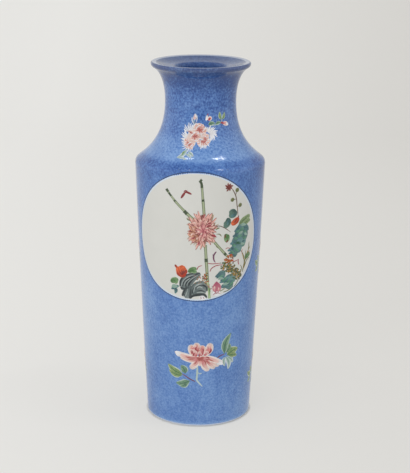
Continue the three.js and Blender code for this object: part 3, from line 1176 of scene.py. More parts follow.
def enamel(name, root, tip, edge, vein=None, **numbers):
    """A glossy enamel. The numbers are inputs of the shared wash, written with underscores."""
    made, tree = material("enamel_" + name)
    wash = placed(tree, enamel_wash, zip(("Root", "Tip", "Edge", "Vein"), (root, tip, edge, vein or root)))
    for label, number in numbers.items():
        wash.inputs[label.replace("_", " ").capitalize()].default_value = number
    fired(tree, wash.outputs["Colour"], ENAMEL_ROUGHNESS, wash.outputs["Relief"], ENAMEL_RELIEF, ENAMEL_DEPTH)
    return made


# %% The enamels
mum_gap = enamel("mum_gap", "6c3836", "84483e", "9c6454", tip_from=0.2, edge_from=0.8)
mum_fringe = enamel("mum_fringe", "a8786c", "bca48c", "c8b8a4", "8c6c5c", tip_from=0.0, edge_from=0.7)
mum_petal = enamel("mum_petal", "9c4c4e", "e6b8aa", "9a5652", tip_from=0.0, edge_from=0.62, tint_range=0.5)
mum_heart = enamel("mum_heart", "9c4450", "dfa29c", "984a54", tip_from=0.0, edge_from=0.62, tint_range=0.5)
mum_light = enamel("mum_light", "dca89c", "f0dccc", "d49a90", tip_from=0.0, edge_from=0.7)
salmon = enamel("salmon", "98503c", "e4b094", "94543f", tip_from=0.0, edge_from=0.6, tint_range=0.4)
peony = enamel("peony", "bc4e58", "e4a498", "e8c8bc", "a84450", tip_from=0.0, edge_from=0.5, streaks=0.9)
soft_rose = enamel(
    "soft_rose", "bc706a", "e2b4a6", "ecd4c8", "b05c5c",
    tip_from=0.0, edge_from=0.5, streaks=0.9,
)
soft_shade = enamel("soft_shade", "a8504e", "b86a60", "d8a498", tip_from=0.3, edge_from=0.7)
cream = enamel("cream", "d8b8ac", "dccac2", "e4dcd8", "d8b8a8", tip_from=0.2, edge_from=0.6)
pale_petal = enamel(
    "pale_petal", "c9636a", "eccfc4", "f0e4da", "b8505a",
    tip_from=0.0, edge_from=0.6, streaks=0.45,
)
white_petal = enamel("white_petal", "d8d4d4", "eef0f2", "f4f6f8", "c8ccd6", tip_from=0.0, streaks=0.3)
iron_red = enamel(
    "iron_red", "a8341c", "dc6a3e", "e8a070", "8a2814",
    tip_from=0.2, edge_from=0.86, streaks=0.8,
)
dark_red = enamel("dark_red", "6c2c28", "884038", "9c5848", tip_from=0.2, edge_from=0.85, tint_range=0.3)
magenta = enamel(
    "magenta", "c0707e", "a04a64", "dca4ae", "8c3450",
    tip_from=0.45, edge_from=0.8, streaks=0.6,
)
bamboo = enamel(
    "bamboo", "82906e", "8e9a76", "687658", "aab492",
    vein_width=0.5, streaks=0.5, edge_from=0.6,
)
bamboo_dark = enamel("bamboo_dark", "44523c", "4c5a42", "5c6850")
sprout = enamel("sprout", "a4b884", "8cb070", "86a070", "c0cca0", vein_width=0.4)
teal = enamel(
    "teal", "4e747a", "688a86", "5c8280",
    tip_from=0.0, edge_from=0.92, streaks=1.4, tint_range=0.4,
)
blue_teal = enamel("blue_teal", "3a5f64", "5c8484", "507a7c", tip_from=0.1, edge_from=0.9, streaks=1.2)
pale_teal = enamel("pale_teal", "84a496", "98b2a2", "8cab9c", tip_from=0.0, edge_from=0.9, streaks=1.0)
leaf_teal = enamel("leaf_teal", "4a7c68", "6a9c80", "78a48c", tip_from=0.1, edge_from=0.9, streaks=1.2)
dark_teal = enamel("dark_teal", "3c5a54", "648274", "5a7a6c", tip_from=0.1, edge_from=0.9, streaks=1.2)
leaf_green = enamel(
    "leaf_green", "587c4c", "88a878", "b0c4a0", "3f6a3c",
    vein_width=0.12, side_veins=4.0, edge_from=0.8, streaks=0.9,
)
light_leaf = enamel(
    "light_leaf", "70865c", "9cb080", "b8c8a0", "4c6440",
    vein_width=0.14, side_veins=4.0, edge_from=0.82, streaks=1.0,
)
spray_leaf = enamel(
    "spray_leaf", "64886c", "88a88c", "b4c8bc", "486c5a",
    vein_width=0.14, side_veins=3.5, edge_from=0.66, streaks=0.9,
)
yellow_leaf = enamel(
    "yellow_leaf", "7a9660", "a0b07c", "c8d6c0", "48704f",
    vein_width=0.14, side_veins=3.5, edge_from=0.7, streaks=0.9,
)
pale_leaf = enamel(
    "pale_leaf", "a0b8b0", "c0ccc8", "d4dce0", "7c9c90",
    vein_width=0.2, edge_from=0.6, streaks=0.9,
)
pale_stem = enamel("pale_stem", "b4c8bc", "c4d4c8", "d4e0d4", streaks=0.3)
brown_stem = enamel("brown_stem", "5c4c40", "74604e", "8a7460")
purple_stem = enamel("purple_stem", "6a4058", "80526a", "94687c")
dark_rose = enamel("dark_rose", "94303c", "b05058", "d8a09c", tip_from=0.3, edge_from=0.8)
insect_red = enamel("insect_red", "7c2c30", "8c3438", "a85c58", tip_from=0.3, edge_from=0.8, streaks=0.3)
ink = enamel("ink", "30383a", "424a4c", "545e5e", "242a2c", streaks=0.8, edge_from=0.8)
rock_grey = enamel("rock_grey", "5a6666", "828c8a", "8e9896", "444c4e", streaks=1.2, edge_from=0.8)
rock_light = enamel("rock_light", "98a2a0", "b8c0bc", "acb6b2", streaks=0.6)
olive = enamel("olive", "62683e", "7c7e54", "8e9068", streaks=0.6)
gold = enamel("gold", "a8803c", "bc9450", "c8a870", streaks=0.5)
rust = enamel("rust", "a84c20", "cc7438", "c88850", tip_from=0.2, streaks=0.8)
cobalt = enamel("cobalt_line", "2c4268", "2f4a78", "3c5c94")
print("There are", len([m for m in bpy.data.materials if m.name.startswith("enamel")]), "enamels")

# %% [markdown]
# ## A flower head by the golden angle
#
# A chrysanthemum packs its petals the way a sunflower packs its seeds: each one is turned from the last
# by the golden angle, about 137.5 degrees, and stands a little further out. The tree puts one petal on
# each of these places, longer towards the outside and lower down, with small chance turns.

# %% Tree: flower head
GOLDEN_ANGLE = math.pi * (3 - math.sqrt(5))
PETAL_THICKNESS = 0.12
PETAL_CHANCE = 0.12
PETAL_SMALLEST = 0.4
PETAL_GROWTH = 0.6
PETAL_WANDER = 0.25
SWAY_STEP = 2.9
HEAD_RISE = 0.2
HEAD_TOUSLE = 0.5
HEAD_TALL = 1.2


def flower_tree():
    """Petals on golden-angle places, flat, squashed to an oval."""
    sizes = {"Petals": 90, "Reach": 0.016, "Petal length": 0.009, "Petal width": 0.0012}
    sizes.update({"Rise": 0.0005, "Tall": 1.0, "Tousle": 0.25, "Seed": 0})
    tree, given, result = geometry_tree("flower_head", sizes)
    number = out_of(tree, "GeometryNodeInputIndex")
    out = calc(tree, "SQRT", calc(tree, "DIVIDE", total(tree, number, 0.5), given["Petals"]))
    wobble = chance(tree, -1.0, 1.0, number, given["Seed"])
    angle = calc(tree, "MULTIPLY_ADD", number, GOLDEN_ANGLE, product(tree, wobble, PETAL_WANDER))
    root = product(tree, calc(tree, "SUBTRACT", given["Reach"], given["Petal length"]), out)
    x = product(tree, root, calc(tree, "COSINE", angle))
    y = product(tree, root, calc(tree, "SINE", angle))
    z = product(tree, calc(tree, "SUBTRACT", 1.0, out), given["Rise"])
    points = out_of(tree, "GeometryNodePoints", {"Count": given["Petals"], "Position": vector(tree, x, y, z)})
    smallest = calc(tree, "MULTIPLY_ADD", wobble, PETAL_CHANCE, PETAL_SMALLEST)
    size = calc(tree, "MULTIPLY_ADD", out, PETAL_GROWTH, smallest)
    scale = vector(tree, product(tree, given["Petal length"], size), given["Petal width"], 1.0)
    sway = calc(tree, "SINE", product(tree, number, SWAY_STEP))
    turn = vector(tree, z=calc(tree, "MULTIPLY_ADD", sway, given["Tousle"], angle))
    petals = {"Points": points, "Instance": given["Geometry"], "Rotation": turn, "Scale": scale}
    spread = out_of(tree, "GeometryNodeInstanceOnPoints", petals)
    tinted = stored(tree, spread, "tint", calc(tree, "MULTIPLY_ADD", wobble, 0.5, 0.5), "INSTANCE")
    real = out_of(tree, "GeometryNodeRealizeInstances", {"Geometry": tinted})
    oval = vector(tree, 1.0, given["Tall"], 1.0)
    hand_over(tree, given, result, out_of(tree, "GeometryNodeTransform", {"Geometry": real, "Scale": oval}))
    return tree


flower = flower_tree()


def unit_petal(bend):
    """One petal of unit length and unit half width, along x, to be scaled by a flower head."""
    mesh = bpy.data.meshes.new("petal_chain")
    mesh.from_pydata([(0, 0, 0), (0.5, bend, 0), (1, 0, 0)], [(0, 1), (1, 2)], [])
    mesh.attributes.new("half_width", "FLOAT", "POINT").data.foreach_set("value", [1.0] * 3)
    return run_tree("unit_petal", brushes["spike"], mesh, rows=9, columns=5, thickness=PETAL_THICKNESS * MM)


# %% Flower heads in a motif
def flower_head(motif, part, finish, middle, reach, petals, petal_length, petal_width, lift, bend=0.2):
    """A flower head of one enamel, with its middle at a place in the motif, in millimetres."""
    petal = unit_petal(bend)
    flat = run_tree(
        "flat_flower",
        flower,
        petal.data,
        petals=petals,
        reach=reach * MM,
        petal_length=petal_length * MM,
        petal_width=petal_width * MM,
        rise=HEAD_RISE * MM,
        tall=HEAD_TALL,
        tousle=HEAD_TOUSLE,
        seed=motif.seed + petals,
        finish=finish,
    )
    bpy.data.objects.remove(petal)
    flat.data.transform(Matrix.Translation((middle[0] * MM, middle[1] * MM, lift * MM)))
    motif.place(part, flat, finish)


# %% [markdown]
# ## The painting in a window
#
# The window holds a common garden picture in the manner of many workshops: two bamboo canes, a pink
# chrysanthemum where they cross, a berry branch and broad leaves on the right, and a pierced garden
# rock with flowers at the foot. Each list below is one enamel, with the kind of its strokes and the
# layer that it lies in. A stroke is its half width and the points that it runs through, in millimetres
# from the window's middle. The same painter filled the window at the back, so it gets the same picture,
# mirrored.

# %% Helpers: bent strokes, fans, and strokes side by side
FAN_WAVER = 0.12


def bent(half_width, start, end, bend=0.0):
    """A stroke from start to end, with its middle moved aside by a share of its length."""
    (x, y), (u, v) = start, end
    middle = ((x + u) / 2 - (v - y) * bend, (y + v) / 2 + (u - x) * bend)
    return (half_width, [start, middle, end])


def fan(half_width, middle, inner, outer, start, stop, count, bend=0.1):
    """Strokes that spread out from round a middle, between two angles in degrees. Their ends waver."""
    strokes = []
    for i in range(count):
        angle = math.radians(start + (stop - start) * i / (count - 1))
        reach = outer * (1 - FAN_WAVER + FAN_WAVER * math.cos(2.4 * i))
        way = Vector((math.cos(angle), math.sin(angle)))
        root, tip = (tuple(Vector(middle) + way * distance) for distance in (inner, reach))
        strokes.append(bent(half_width, root, tip, bend))
    return strokes


def between(half_width, first, last, count):
    """Strokes side by side that change step by step from one chain of points into another."""
    strokes = []
    for i in range(count):
        share = i / (count - 1)
        chain = [(a + (c - a) * share, b + (d - b) * share) for (a, b), (c, d) in zip(first, last)]
        strokes.append((half_width, chain))
    return strokes


# %% The line round a window
WINDOW_LINE_STEPS = 60


def paint_window_line(motif):
    """A thin cobalt line where the blue was cut back round the window."""
    ring = []
    for i in range(WINDOW_LINE_STEPS + 1):
        angle = math.tau * i / WINDOW_LINE_STEPS
        wider = math.cos(angle) ** 2 * (WINDOW_WIDER - WINDOW_FULLER * math.sin(angle))
        reach = WINDOW_HALF_HEIGHT + wider + 0.5
        ring.append((reach * math.cos(angle), reach * math.sin(angle)))
    motif.paint("window_line", "cane", cobalt, 0, [(0.6, ring)], rows=181, columns=5, thick=0.05)


# %% Bamboo and chrysanthemum
def paint_canes(motif):
    """Two bamboo canes with dark joints."""
    motif.paint("canes", "cane", bamboo, 1.2, [
        (1.25, [(-31, 49.5), (-22.6, 39.6)]), (1.5, [(-22.4, 39.3), (-10.5, 27.7)]),
        (1.9, [(-10.1, 27.3), (0, 18)]), (1.6, [(20.5, -5.5), (32.4, -19.4)]),
        (1.4, [(32.9, -20), (35.3, -22.5)]), (1.4, [(6.6, 58), (7.8, 41.4)]), (1.7, [(7.9, 40.9), (9.3, 24)]),
        (1.7, [(10.6, -8), (11.6, -24.8)]), (1.8, [(11.7, -25.4), (12.5, -38), (13.2, -50)]),
    ], rows=8)
    motif.paint("cane_joints", "cane", bamboo_dark, 1.8, [
        (1.7, [(-32.6, 51.6), (-30.2, 48.6)]), (1.3, [(-29.8, 47.8), (-26.8, 44.4)]),
        (1.5, [(-23.2, 40.2), (-21.9, 38.9)]), (2.1, [(-12.2, 29.2), (-8.9, 26)]),
        (1.7, [(31.6, -18.6), (33.6, -20.8)]), (1.5, [(4.6, 62.6), (6.2, 59.6), (6.7, 55)]),
        (1.7, [(7.8, 42.4), (8, 40)]), (2, [(11.5, -23.4), (11.7, -27.2)]), (1.3, [(6.6, 64.3), (4.3, 61.4)]),
    ], rows=8)
    motif.paint("sprout_stalk", "cane", sprout, 1.2, [
        (1.3, [(13.2, -50.4), (14.6, -57), (15.4, -69)]),
    ], rows=8)
    motif.paint("sprout_shades", "line", leaf_green, 2.4, [
        (0.5, [(14, -54), (15.2, -60), (15.4, -66)]), (0.4, [(15.8, -57), (16.2, -62)]),
    ], rows=8)


def paint_chrysanthemum(motif):
    """A shaggy pink head: dark gaps below, ragged pale fringe, and curled petals heaped above them."""
    flower_head(motif, "mum_fringe", mum_fringe, (7.2, 8.6), 18.6, 60, 9, 0.7, 0.08, bend=0.15)
    flower_head(motif, "mum_gaps", mum_gap, (7.2, 8.6), 14.4, 60, 9, 2.2, 0.1)
    flower_head(motif, "mum_outer", mum_petal, (7.2, 8.6), 17, 64, 8, 1.45, 0.2, bend=0.3)
    flower_head(motif, "mum_middle", mum_petal, (7.8, 8.2), 12.8, 46, 6.6, 1.4, 0.34, bend=-0.35)
    flower_head(motif, "mum_heart", mum_heart, (8.4, 8.2), 7.4, 24, 4.8, 1.15, 0.5, bend=0.4)
    motif.paint("mum_left", "spike", salmon, 8.5, (
        fan(1.35, (4.6, 6), 6.6, 13.6, 145, 250, 8, 0.3) + fan(1.2, (4.6, 7), 3.6, 9.6, 150, 260, 6, -0.3)
    ), rows=12)
    motif.paint("mum_lines", "spike", mum_gap, 11, (
        fan(0.34, (7.8, 8.2), 4, 10, 5, 350, 15, 0.25) + fan(0.34, (7.4, 8.4), 9.4, 15.4, 12, 368, 21, -0.2)
    ), rows=10)
    motif.paint("mum_lights", "spike", mum_light, 12, (
        fan(0.8, (8, 8), 2.2, 6.4, 20, 340, 7, 0.3)
        + fan(0.85, (7.4, 8.4), 9, 14, 35, 380, 11, -0.3)
    ), rows=10)
    motif.paint("mum_shades", "spike", dark_rose, 13, [
        bent(0.9, (12, 12.6), (17.6, 12.4), 0.2), bent(0.9, (12.6, 15), (17, 15.8), 0.2),
        bent(1, (17.6, 1.6), (22.2, 0.2), 0.2), bent(0.9, (17, 3.6), (21, 3), -0.2),
        bent(0.6, (10.6, 5.6), (12, 8), 0.2), bent(0.8, (8.6, 22), (10, 26.4), 0.1),
        bent(0.8, (-4.6, 8.6), (-7.6, 7.6), 0.2), bent(0.8, (-1, 1), (-4, -1), 0.2),
        bent(0.8, (3.6, -3.6), (2.2, -7.6), 0.2),
    ], rows=10)
    motif.paint("mum_sepals", "spike", olive, 0.9, [
        bent(0.9, (16.6, 18), (17.6, 27), -0.12), bent(0.8, (21.6, 8.4), (26.4, 10.4), 0.1),
        bent(0.9, (21.4, -6.6), (26.4, -13), -0.1), bent(0.7, (-5.6, 18.6), (-9.6, 22), 0.1),
        bent(0.6, (22.4, 3.6), (28.4, 0.4), 0.2),
    ], rows=12)


# %% Branches and leaves on the right
def paint_berry_branch(motif):
    """A thin arching branch with buds, berries and its leaves."""
    motif.paint("branch", "line", brown_stem, 1.2, [
        (0.6, [(39.9, 52.4), (43.2, 47.3), (45.5, 41.3), (46.5, 33.6), (47.4, 27.7), (48.2, 20.5)]),
        (0.45, [(46.3, 50), (44.6, 45)]), (0.4, [(41, 40), (45.3, 40.4)]), (0.4, [(50.4, 33.2), (47, 31.4)]),
        (0.45, [(17.4, 12.6), (25.9, 12.4), (30.8, 10.3), (35.9, 6.8), (39.1, 4.2)]),
        (0.35, [(33.5, 11.5), (31.5, 13.5)]),
    ])
    motif.paint("dark_buds", "spike", dark_red, 2, (
        fan(0.95, (36.2, 54.4), 0.2, 5.4, 10, 330, 8) + [bent(1.8, (34.4, 53.4), (38.2, 55.2))]
    ), rows=12)
    motif.paint("branch_buds", "round", olive, 2, [
        bent(2.1, (39, 38.4), (42.4, 41.8)), bent(1.9, (42.4, 39.2), (38.4, 40.4)),
        bent(2.2, (52.6, 34.6), (48.8, 31.4)), bent(1.7, (52, 31.2), (50, 35.2)),
        bent(2.3, (44.6, 48.6), (48.4, 51.8)),
    ], rows=12)
    motif.paint("blue_leaves", "round", dark_teal, 2, [
        bent(3.8, (46.2, 27.2), (36.4, 22.8), 0.14), bent(3, (45.6, 25), (36.8, 25.4), -0.2),
        bent(3.6, (37, 20.4), (31.2, 10), 0.1), bent(2.4, (35.6, 20.8), (30.6, 13.6), 0.2),
    ])
    motif.paint("blue_leaf_lights", "round", blue_teal, 3.2, [
        bent(1.9, (45, 24.2), (38.6, 22.6), 0.14), bent(1.8, (37.2, 18.6), (34.6, 12.6), -0.1),
    ], rows=12)
    motif.paint("berries", "round", iron_red, 3, [
        bent(3.5, (49.4, 19.2), (39.4, 12.8), 0.06), bent(2.4, (48, 14.8), (40.4, 15.8), 0.1),
        bent(0.9, (48.8, 21.4), (47.6, 16.6)), bent(5, (-18.4, -44.4), (-11.6, -32.6), 0.05),
        bent(5, (-10.6, -44), (-18.8, -33.6), 0.1), bent(4.6, (-8.4, -39.6), (-21.4, -39), -0.1),
        bent(1.4, (-22.8, -31.8), (-18.6, -36.6)),
    ])
    motif.paint("red_shades", "spike", dark_red, 4.6, (
        fan(0.6, (-12.4, -41.4), 0.6, 5.6, 60, 190, 5)
        + [bent(0.6, (-22.6, -31.8), (-20.4, -34)), bent(0.5, (46.6, 18), (42, 14.4), 0.1)]
        + [bent(0.6, (49.2, 21.6), (48.2, 19)), bent(0.7, (35.4, -3.6), (33.6, -7), 0.1)]
        + [bent(0.6, (32.4, 2.6), (31.6, -1.6), 0.1)]
    ), rows=10)
    motif.paint("green_leaves", "round", leaf_green, 2, [
        bent(3.2, (32.6, 3), (34, -6.6), 0.1), bent(2.8, (36.4, 2), (35.4, -6), -0.1),
        bent(3.2, (59.6, -29.6), (68, -24.4), 0.12), bent(2.9, (-7.6, -39.4), (1.6, -34.6), 0.1),
        bent(2.4, (-5, -35.4), (1.6, -38.2), -0.1), bent(3.4, (-27.6, -52.4), (-18.4, -48.6), 0.1),
        bent(2.8, (-25.4, -48.2), (-20.4, -53.4), 0.1),
    ])
    motif.paint("light_leaves", "round", light_leaf, 2.6, [
        bent(3, (49.6, 11.6), (66.4, 18), 0.1), bent(2.8, (53, 9.6), (66.8, 14), 0.06),
        bent(2.2, (56, 14.6), (66, 19.4), 0.1),
    ])


def paint_broad_leaves(motif):
    """Broad blue-green leaves: a ground of wide strokes, and short ones of mixed greens over it."""
    motif.paint("broad_leaves", "petal", teal, 1.3, [
        bent(6.2, (43.6, 4), (62.4, 8.4), 0.1), bent(7, (41.6, -1), (63.4, -2), 0.06),
        bent(7, (38.6, -9), (60.6, -9), 0.06), bent(6, (35.6, -16.4), (54.4, -15.6), 0.08),
        bent(4.6, (36.6, -19.6), (48, -22), 0.1), bent(6.4, (46, 6), (46, -14.6), 0.04),
        bent(5, (21.6, -44.6), (33.4, -43.4), 0.1), bent(5.6, (26.6, -51.6), (46.6, -48.6), 0.06),
        bent(6, (27.4, -57.4), (43.4, -54.6), 0.06),
    ])
    shade = between(1.5, [(46.6, 6.4), (52, 8.6)], [(38.6, -17), (44, -20.6)], 8)
    shade += between(1.5, [(56, 8), (61, 3.6)], [(54, -13), (58.6, -11)], 6)
    light = between(1.6, [(49.6, 3.4), (57, 7.4)], [(43, -14), (50, -19)], 7)
    light += between(1.5, [(57, 0.6), (62.6, -2.6)], [(50, -14.6), (57, -15)], 5)
    low_shade = between(1.5, [(23, -46.6), (28, -41.6)], [(38, -57.6), (44, -51.6)], 8)
    low_light = between(1.6, [(22.6, -43), (29.6, -45.6)], [(33.6, -59.6), (41.6, -57)], 7)
    motif.paint("broad_leaf_shades", "leaf", blue_teal, 3.4, shade[0::2] + low_shade[0::2] + [
        bent(3.4, (56.6, 6.6), (64.6, 2.6), 0.1), bent(2.6, (60, 8.6), (61.6, 1.6), 0.1),
        bent(2.4, (-27, -60.6), (-17.4, -55.6), 0.1), bent(2, (-22, -57.6), (-22.6, -65), 0.12),
    ], rows=12)
    greens = shade[1::2] + light[0::2] + low_shade[1::2]
    motif.paint("broad_leaf_greens", "leaf", leaf_teal, 4, greens, rows=12)
    motif.paint("broad_leaf_lights", "leaf", pale_teal, 4.6, light[1::3] + low_light[1::3] + [
        bent(1.8, (52, 9.4), (60, 9), 0.16), bent(2.4, (-26.6, -58), (-19.4, -56.4), 0.1),
    ], rows=12)


# %% Grass, small flowers and curling stems
def paint_grasses(motif):
    """Blades of grass, curling tendrils, and the leafy stalk on the right."""
    motif.paint("grass", "line", olive, 1.4, [
        (0.7, [(56.6, -42.6), (58.4, -34), (62.6, -24), (68, -16)]),
        (0.6, [(58.4, -36), (57.6, -26.6), (53, -18.4)]), (0.6, [(58.6, -38.6), (60, -27), (60.8, -19.6)]),
        (0.6, [(57.6, -40), (62.4, -31.6), (67, -29)]), (0.6, [(60.6, -28), (64.4, -23), (66, -10.6)]),
        (0.5, [(56, -44), (54.4, -38), (52.6, -35)]), (0.5, [(30.7, -63), (37, -61.6), (43.5, -57.9)]),
        (0.45, [(26.6, -61.6), (31, -59.8), (33.6, -57)]), (0.45, [(44, -58.6), (47.6, -55), (51.6, -48)]),
    ])
    motif.paint("gold_grass", "line", gold, 1.8, [
        (0.5, [(57, -41), (59.6, -31), (61.6, -25)]), (0.45, [(60.6, -31), (63.6, -22), (67.4, -18)]),
        (0.4, [(57.6, -30), (55, -21.6)]),
    ])
    motif.paint("red_grass", "line", dark_rose, 1.6, [
        (0.5, [(60, -30), (63.4, -24.6), (68, -21.6)]), (0.45, [(55.6, -23.6), (54.4, -20), (55.6, -17.6)]),
        (0.6, [(49.6, -27.6), (49.4, -31.4), (50.6, -34.4)]),
        (0.5, [(15.6, -38.6), (17.6, -34.6), (23, -31.8), (30.8, -31.4)]),
        (0.45, [(1.8, -36), (3.4, -32.6), (7.4, -31)]), (0.45, [(13.4, -28.8), (19, -29.6), (27.6, -29.4)]),
        (0.35, [(33, -14), (36, -13), (38.6, -14.6)]), (0.45, [(41, -28.6), (44, -29.6), (49, -28.4)]),
    ])
    motif.paint("purple_curls", "line", purple_stem, 1.8, [
        (0.9, [(22.6, -16), (19.8, -20), (19.8, -24.6), (21.6, -28.4)]), (0.5, [(18.6, -19), (20.4, -22.4)]),
    ])
    motif.paint("insect", "round", insect_red, 1.8, [
        (1.3, [(-15.8, 42.8), (-13.6, 46), (-10.8, 50.2)]), (1.15, [(-11.8, 49.8), (-8.6, 49.8), (-4, 47.8)]),
        (0.6, [(-12.8, 50.4), (-10.4, 51.6), (-8.4, 50.8)]),
    ])


def paint_pink_bud(motif):
    """A pink bud on pale petals, with a few fine lines, and a second pale tuft below the rock."""
    motif.paint("bud_base", "round", white_petal, 1.4, [
        bent(2.8, (19, -65.6), (27.2, -62.8), 0.1), bent(2.2, (20.4, -62.4), (26.8, -65.8), 0.1),
        bent(1.5, (3.4, -68.8), (11.4, -68.8), -0.06), bent(1.3, (4.6, -67.4), (10.2, -67.4), 0.1),
    ])
    motif.paint("bud", "leaf", magenta, 2.2, [
        bent(3.6, (22.4, -63.2), (23.4, -49.8), 0.06), bent(3.2, (24.8, -62.6), (23.2, -50.4), -0.1),
    ])
    motif.paint("bud_lights", "spike", pale_petal, 4, [
        bent(0.9, (21, -60.6), (21.4, -55), 0.1), bent(0.7, (24.6, -61.6), (25.6, -56.6), -0.1),
    ], rows=10)
    motif.paint("bud_lines", "line", dark_rose, 3, [
        (0.4, [(19.4, -64.8), (23.2, -63), (27.4, -64.2)]), (0.35, [(21.4, -62), (23.4, -63.6), (25.6, -62)]),
        (0.25, [(5.6, -67), (6.6, -68.4), (5.6, -69.4)]), (0.25, [(9.2, -66.8), (9, -68.2), (10.2, -69.4)]),
    ])


# %% [markdown]
# ## The garden rock
#
# A pierced garden rock is a heap of arches and hollows. The painter draws each stone with broad strokes
# side by side, dark and grey by turns, and lays pale streaks and dark lines on top. So two chains of
# points are enough for each stone: the strokes between them change step by step from one into the other.

# %% The garden rock
def paint_rock(motif):
    """Two pierced stones. Their strokes lie side by side, dark and grey by turns, with pale streaks."""
    upper = between(
        1.5,
        [(-16.6, -57), (-15.8, -49.4), (-9.6, -43), (5, -39.2)],
        [(-6.5, -56), (-3, -50), (1.4, -44.8), (6, -41.2)],
        8,
    )
    left = between(
        1.9,
        [(-9.4, -55.4), (-11.2, -60.6), (-14.4, -67)],
        [(-3.6, -54), (-4.6, -60), (-6.5, -69.4)],
        5,
    )
    arch = between(
        1.5,
        [(-4.6, -65), (-3.8, -56.8), (1.8, -51.2), (9.6, -50.8), (13.6, -58.8)],
        [(-1, -65.4), (0.2, -61.4), (3.7, -59), (8.4, -59), (11, -63.2)],
        6,
    )
    brow = (1.7, [(-5.5, -69.6), (-2.6, -65.9), (3.7, -64.4), (9.6, -64.4), (12.9, -68.4)])
    motif.paint("rock_dark", "round", ink, 1.3, upper[0::2] + left[0::2] + [brow])
    motif.paint("rock_ground", "round", rock_grey, 1.1, [
        bent(5, (-15.4, -56.6), (5.6, -41.4), 0.12), bent(2.4, (-16, -58.6), (-6, -58.6), 0.1),
        bent(4.6, (-7, -54.6), (-10.4, -69), 0.05), bent(7.4, (-3.6, -61.6), (13, -58.6), 0.2),
    ])
    motif.paint("rock_grey", "round", rock_grey, 1.6, upper[1::2] + left[1::2] + arch)
    motif.paint("rock_shades", "line", ink, 3.4, [
        (0.8, [(7.6, -53), (11.6, -55.4), (13, -60.6)]),
        (1, [(-14, -52.4), (-9.6, -46.8), (-2.6, -42.6), (5.4, -39.6)]),
        (0.9, [(-16.4, -57), (-11, -58), (-6.4, -56.4)]), (0.7, [(-8, -53), (-4.6, -48.4), (1, -44)]),
        (0.7, [(-3.2, -63), (-1.6, -57.6), (3, -54.6)]), (0.6, [(2.6, -60.6), (6.6, -59.6), (11, -61.6)]),
        (0.6, [(4, -53.4), (8, -53.6), (10, -56)]), (0.6, [(-12.8, -63.6), (-10.6, -67.6)]),
    ])
    motif.paint("rock_streaks", "line", rock_light, 4.2, [
        (0.5, [(-15, -55.4), (-13.2, -49.6), (-7.6, -44.4), (1.4, -41)]),
        (0.45, [(-12.4, -55), (-10.4, -50), (-5.6, -45.8)]),
        (0.4, [(-9.4, -54.4), (-7, -50), (-2.6, -45.8), (3, -42)]),
        (0.4, [(-8, -57.6), (-9.2, -62.6), (-11.4, -67.6)]),
        (0.55, [(-1.8, -62), (-0.4, -56), (3.6, -52.6), (7.6, -52.2)]),
        (0.7, [(1.6, -57.2), (4.6, -55.4), (8, -56.8)]), (0.5, [(1.4, -62.2), (5.6, -61.4), (9.4, -62.4)]),
    ])


# %% Dots
def paint_flower_dots(motif):
    """The dotted orange flower, the flecked foliage beside it, and dots by the rock."""
    flower = [[
        (33.4, -26.6), (35.6, -23.6), (39.6, -23), (41, -26), (38.6, -28.4), (34.6, -28), (36.6, -25.6),
    ]]
    motif.dot("orange_dots", rust, flower, 0.55, 1.6, 1, 3)
    motif.dot("orange_lights", gold, flower, 1.5, 1.6, 0.6, 4.6)
    motif.dot("orange_shades", brown_stem, flower, 1.7, 1.8, 0.6, 4.4)
    foliage = [
        [(29.6, -31), (34, -33), (39.7, -36.4), (44.3, -41.1), (51.6, -46.5)],
        [(34, -29.4), (39.6, -33), (46, -38.4), (53, -44)],
        [(31, -34.6), (38, -38.4), (43, -43.6), (50, -48.8)],
    ]
    motif.dot("foliage_dark", olive, foliage, 0.8, 2.8, 1.05, 1.6)
    motif.dot("foliage_green", light_leaf, foliage, 1, 3.2, 0.95, 2.2)
    motif.dot("foliage_gold", gold, foliage, 1.3, 2.8, 0.85, 2.8)
    motif.dot("foliage_brown", brown_stem, foliage, 1.7, 3, 0.7, 3.2)
    by_cane = [[(11.4, -40.6), (10.8, -45.4), (12.4, -50.4)]]
    motif.dot("gold_dots", gold, by_cane, 1.1, 2, 0.85, 4.4)
    motif.dot("brown_dots", brown_stem, by_cane, 1.3, 2, 0.85, 4.9)
    motif.dot("rust_dots", rust, by_cane, 1.5, 2, 0.8, 5.2)
    moss = [[(0.6, -45), (4.6, -44), (9, -46), (6, -49), (1, -49.6)], [(12.4, -53.6), (17.6, -57.6)]]
    motif.dot("moss_dots", olive, moss, 1.3, 2.2, 0.6, 4)
    motif.dot("moss_lights", mum_fringe, moss, 1.6, 2.4, 0.8, 3.8)


def paint_window(motif):
    """The whole garden picture."""
    for paint_part in (
        paint_window_line, paint_canes, paint_chrysanthemum, paint_berry_branch, paint_broad_leaves,
        paint_grasses, paint_pink_bud, paint_rock, paint_flower_dots,
    ):
        paint_part(motif)


paint_window(Motif("front", WINDOW_MIDDLE, 0))
paint_window(Motif("back", WINDOW_MIDDLE, 180, mirror=-1.0, seed=50))


# %% [markdown]
# ## Sprays on the blue
#
# Above and below each window a loose spray of flowers lies straight on the blue glaze. On blue, enamel
# needs a pale edge to be read, so these leaves and petals fade to cream at their sides. The painter
# repeats the sprays round the vase, and smaller ones fill the gaps at the sides.

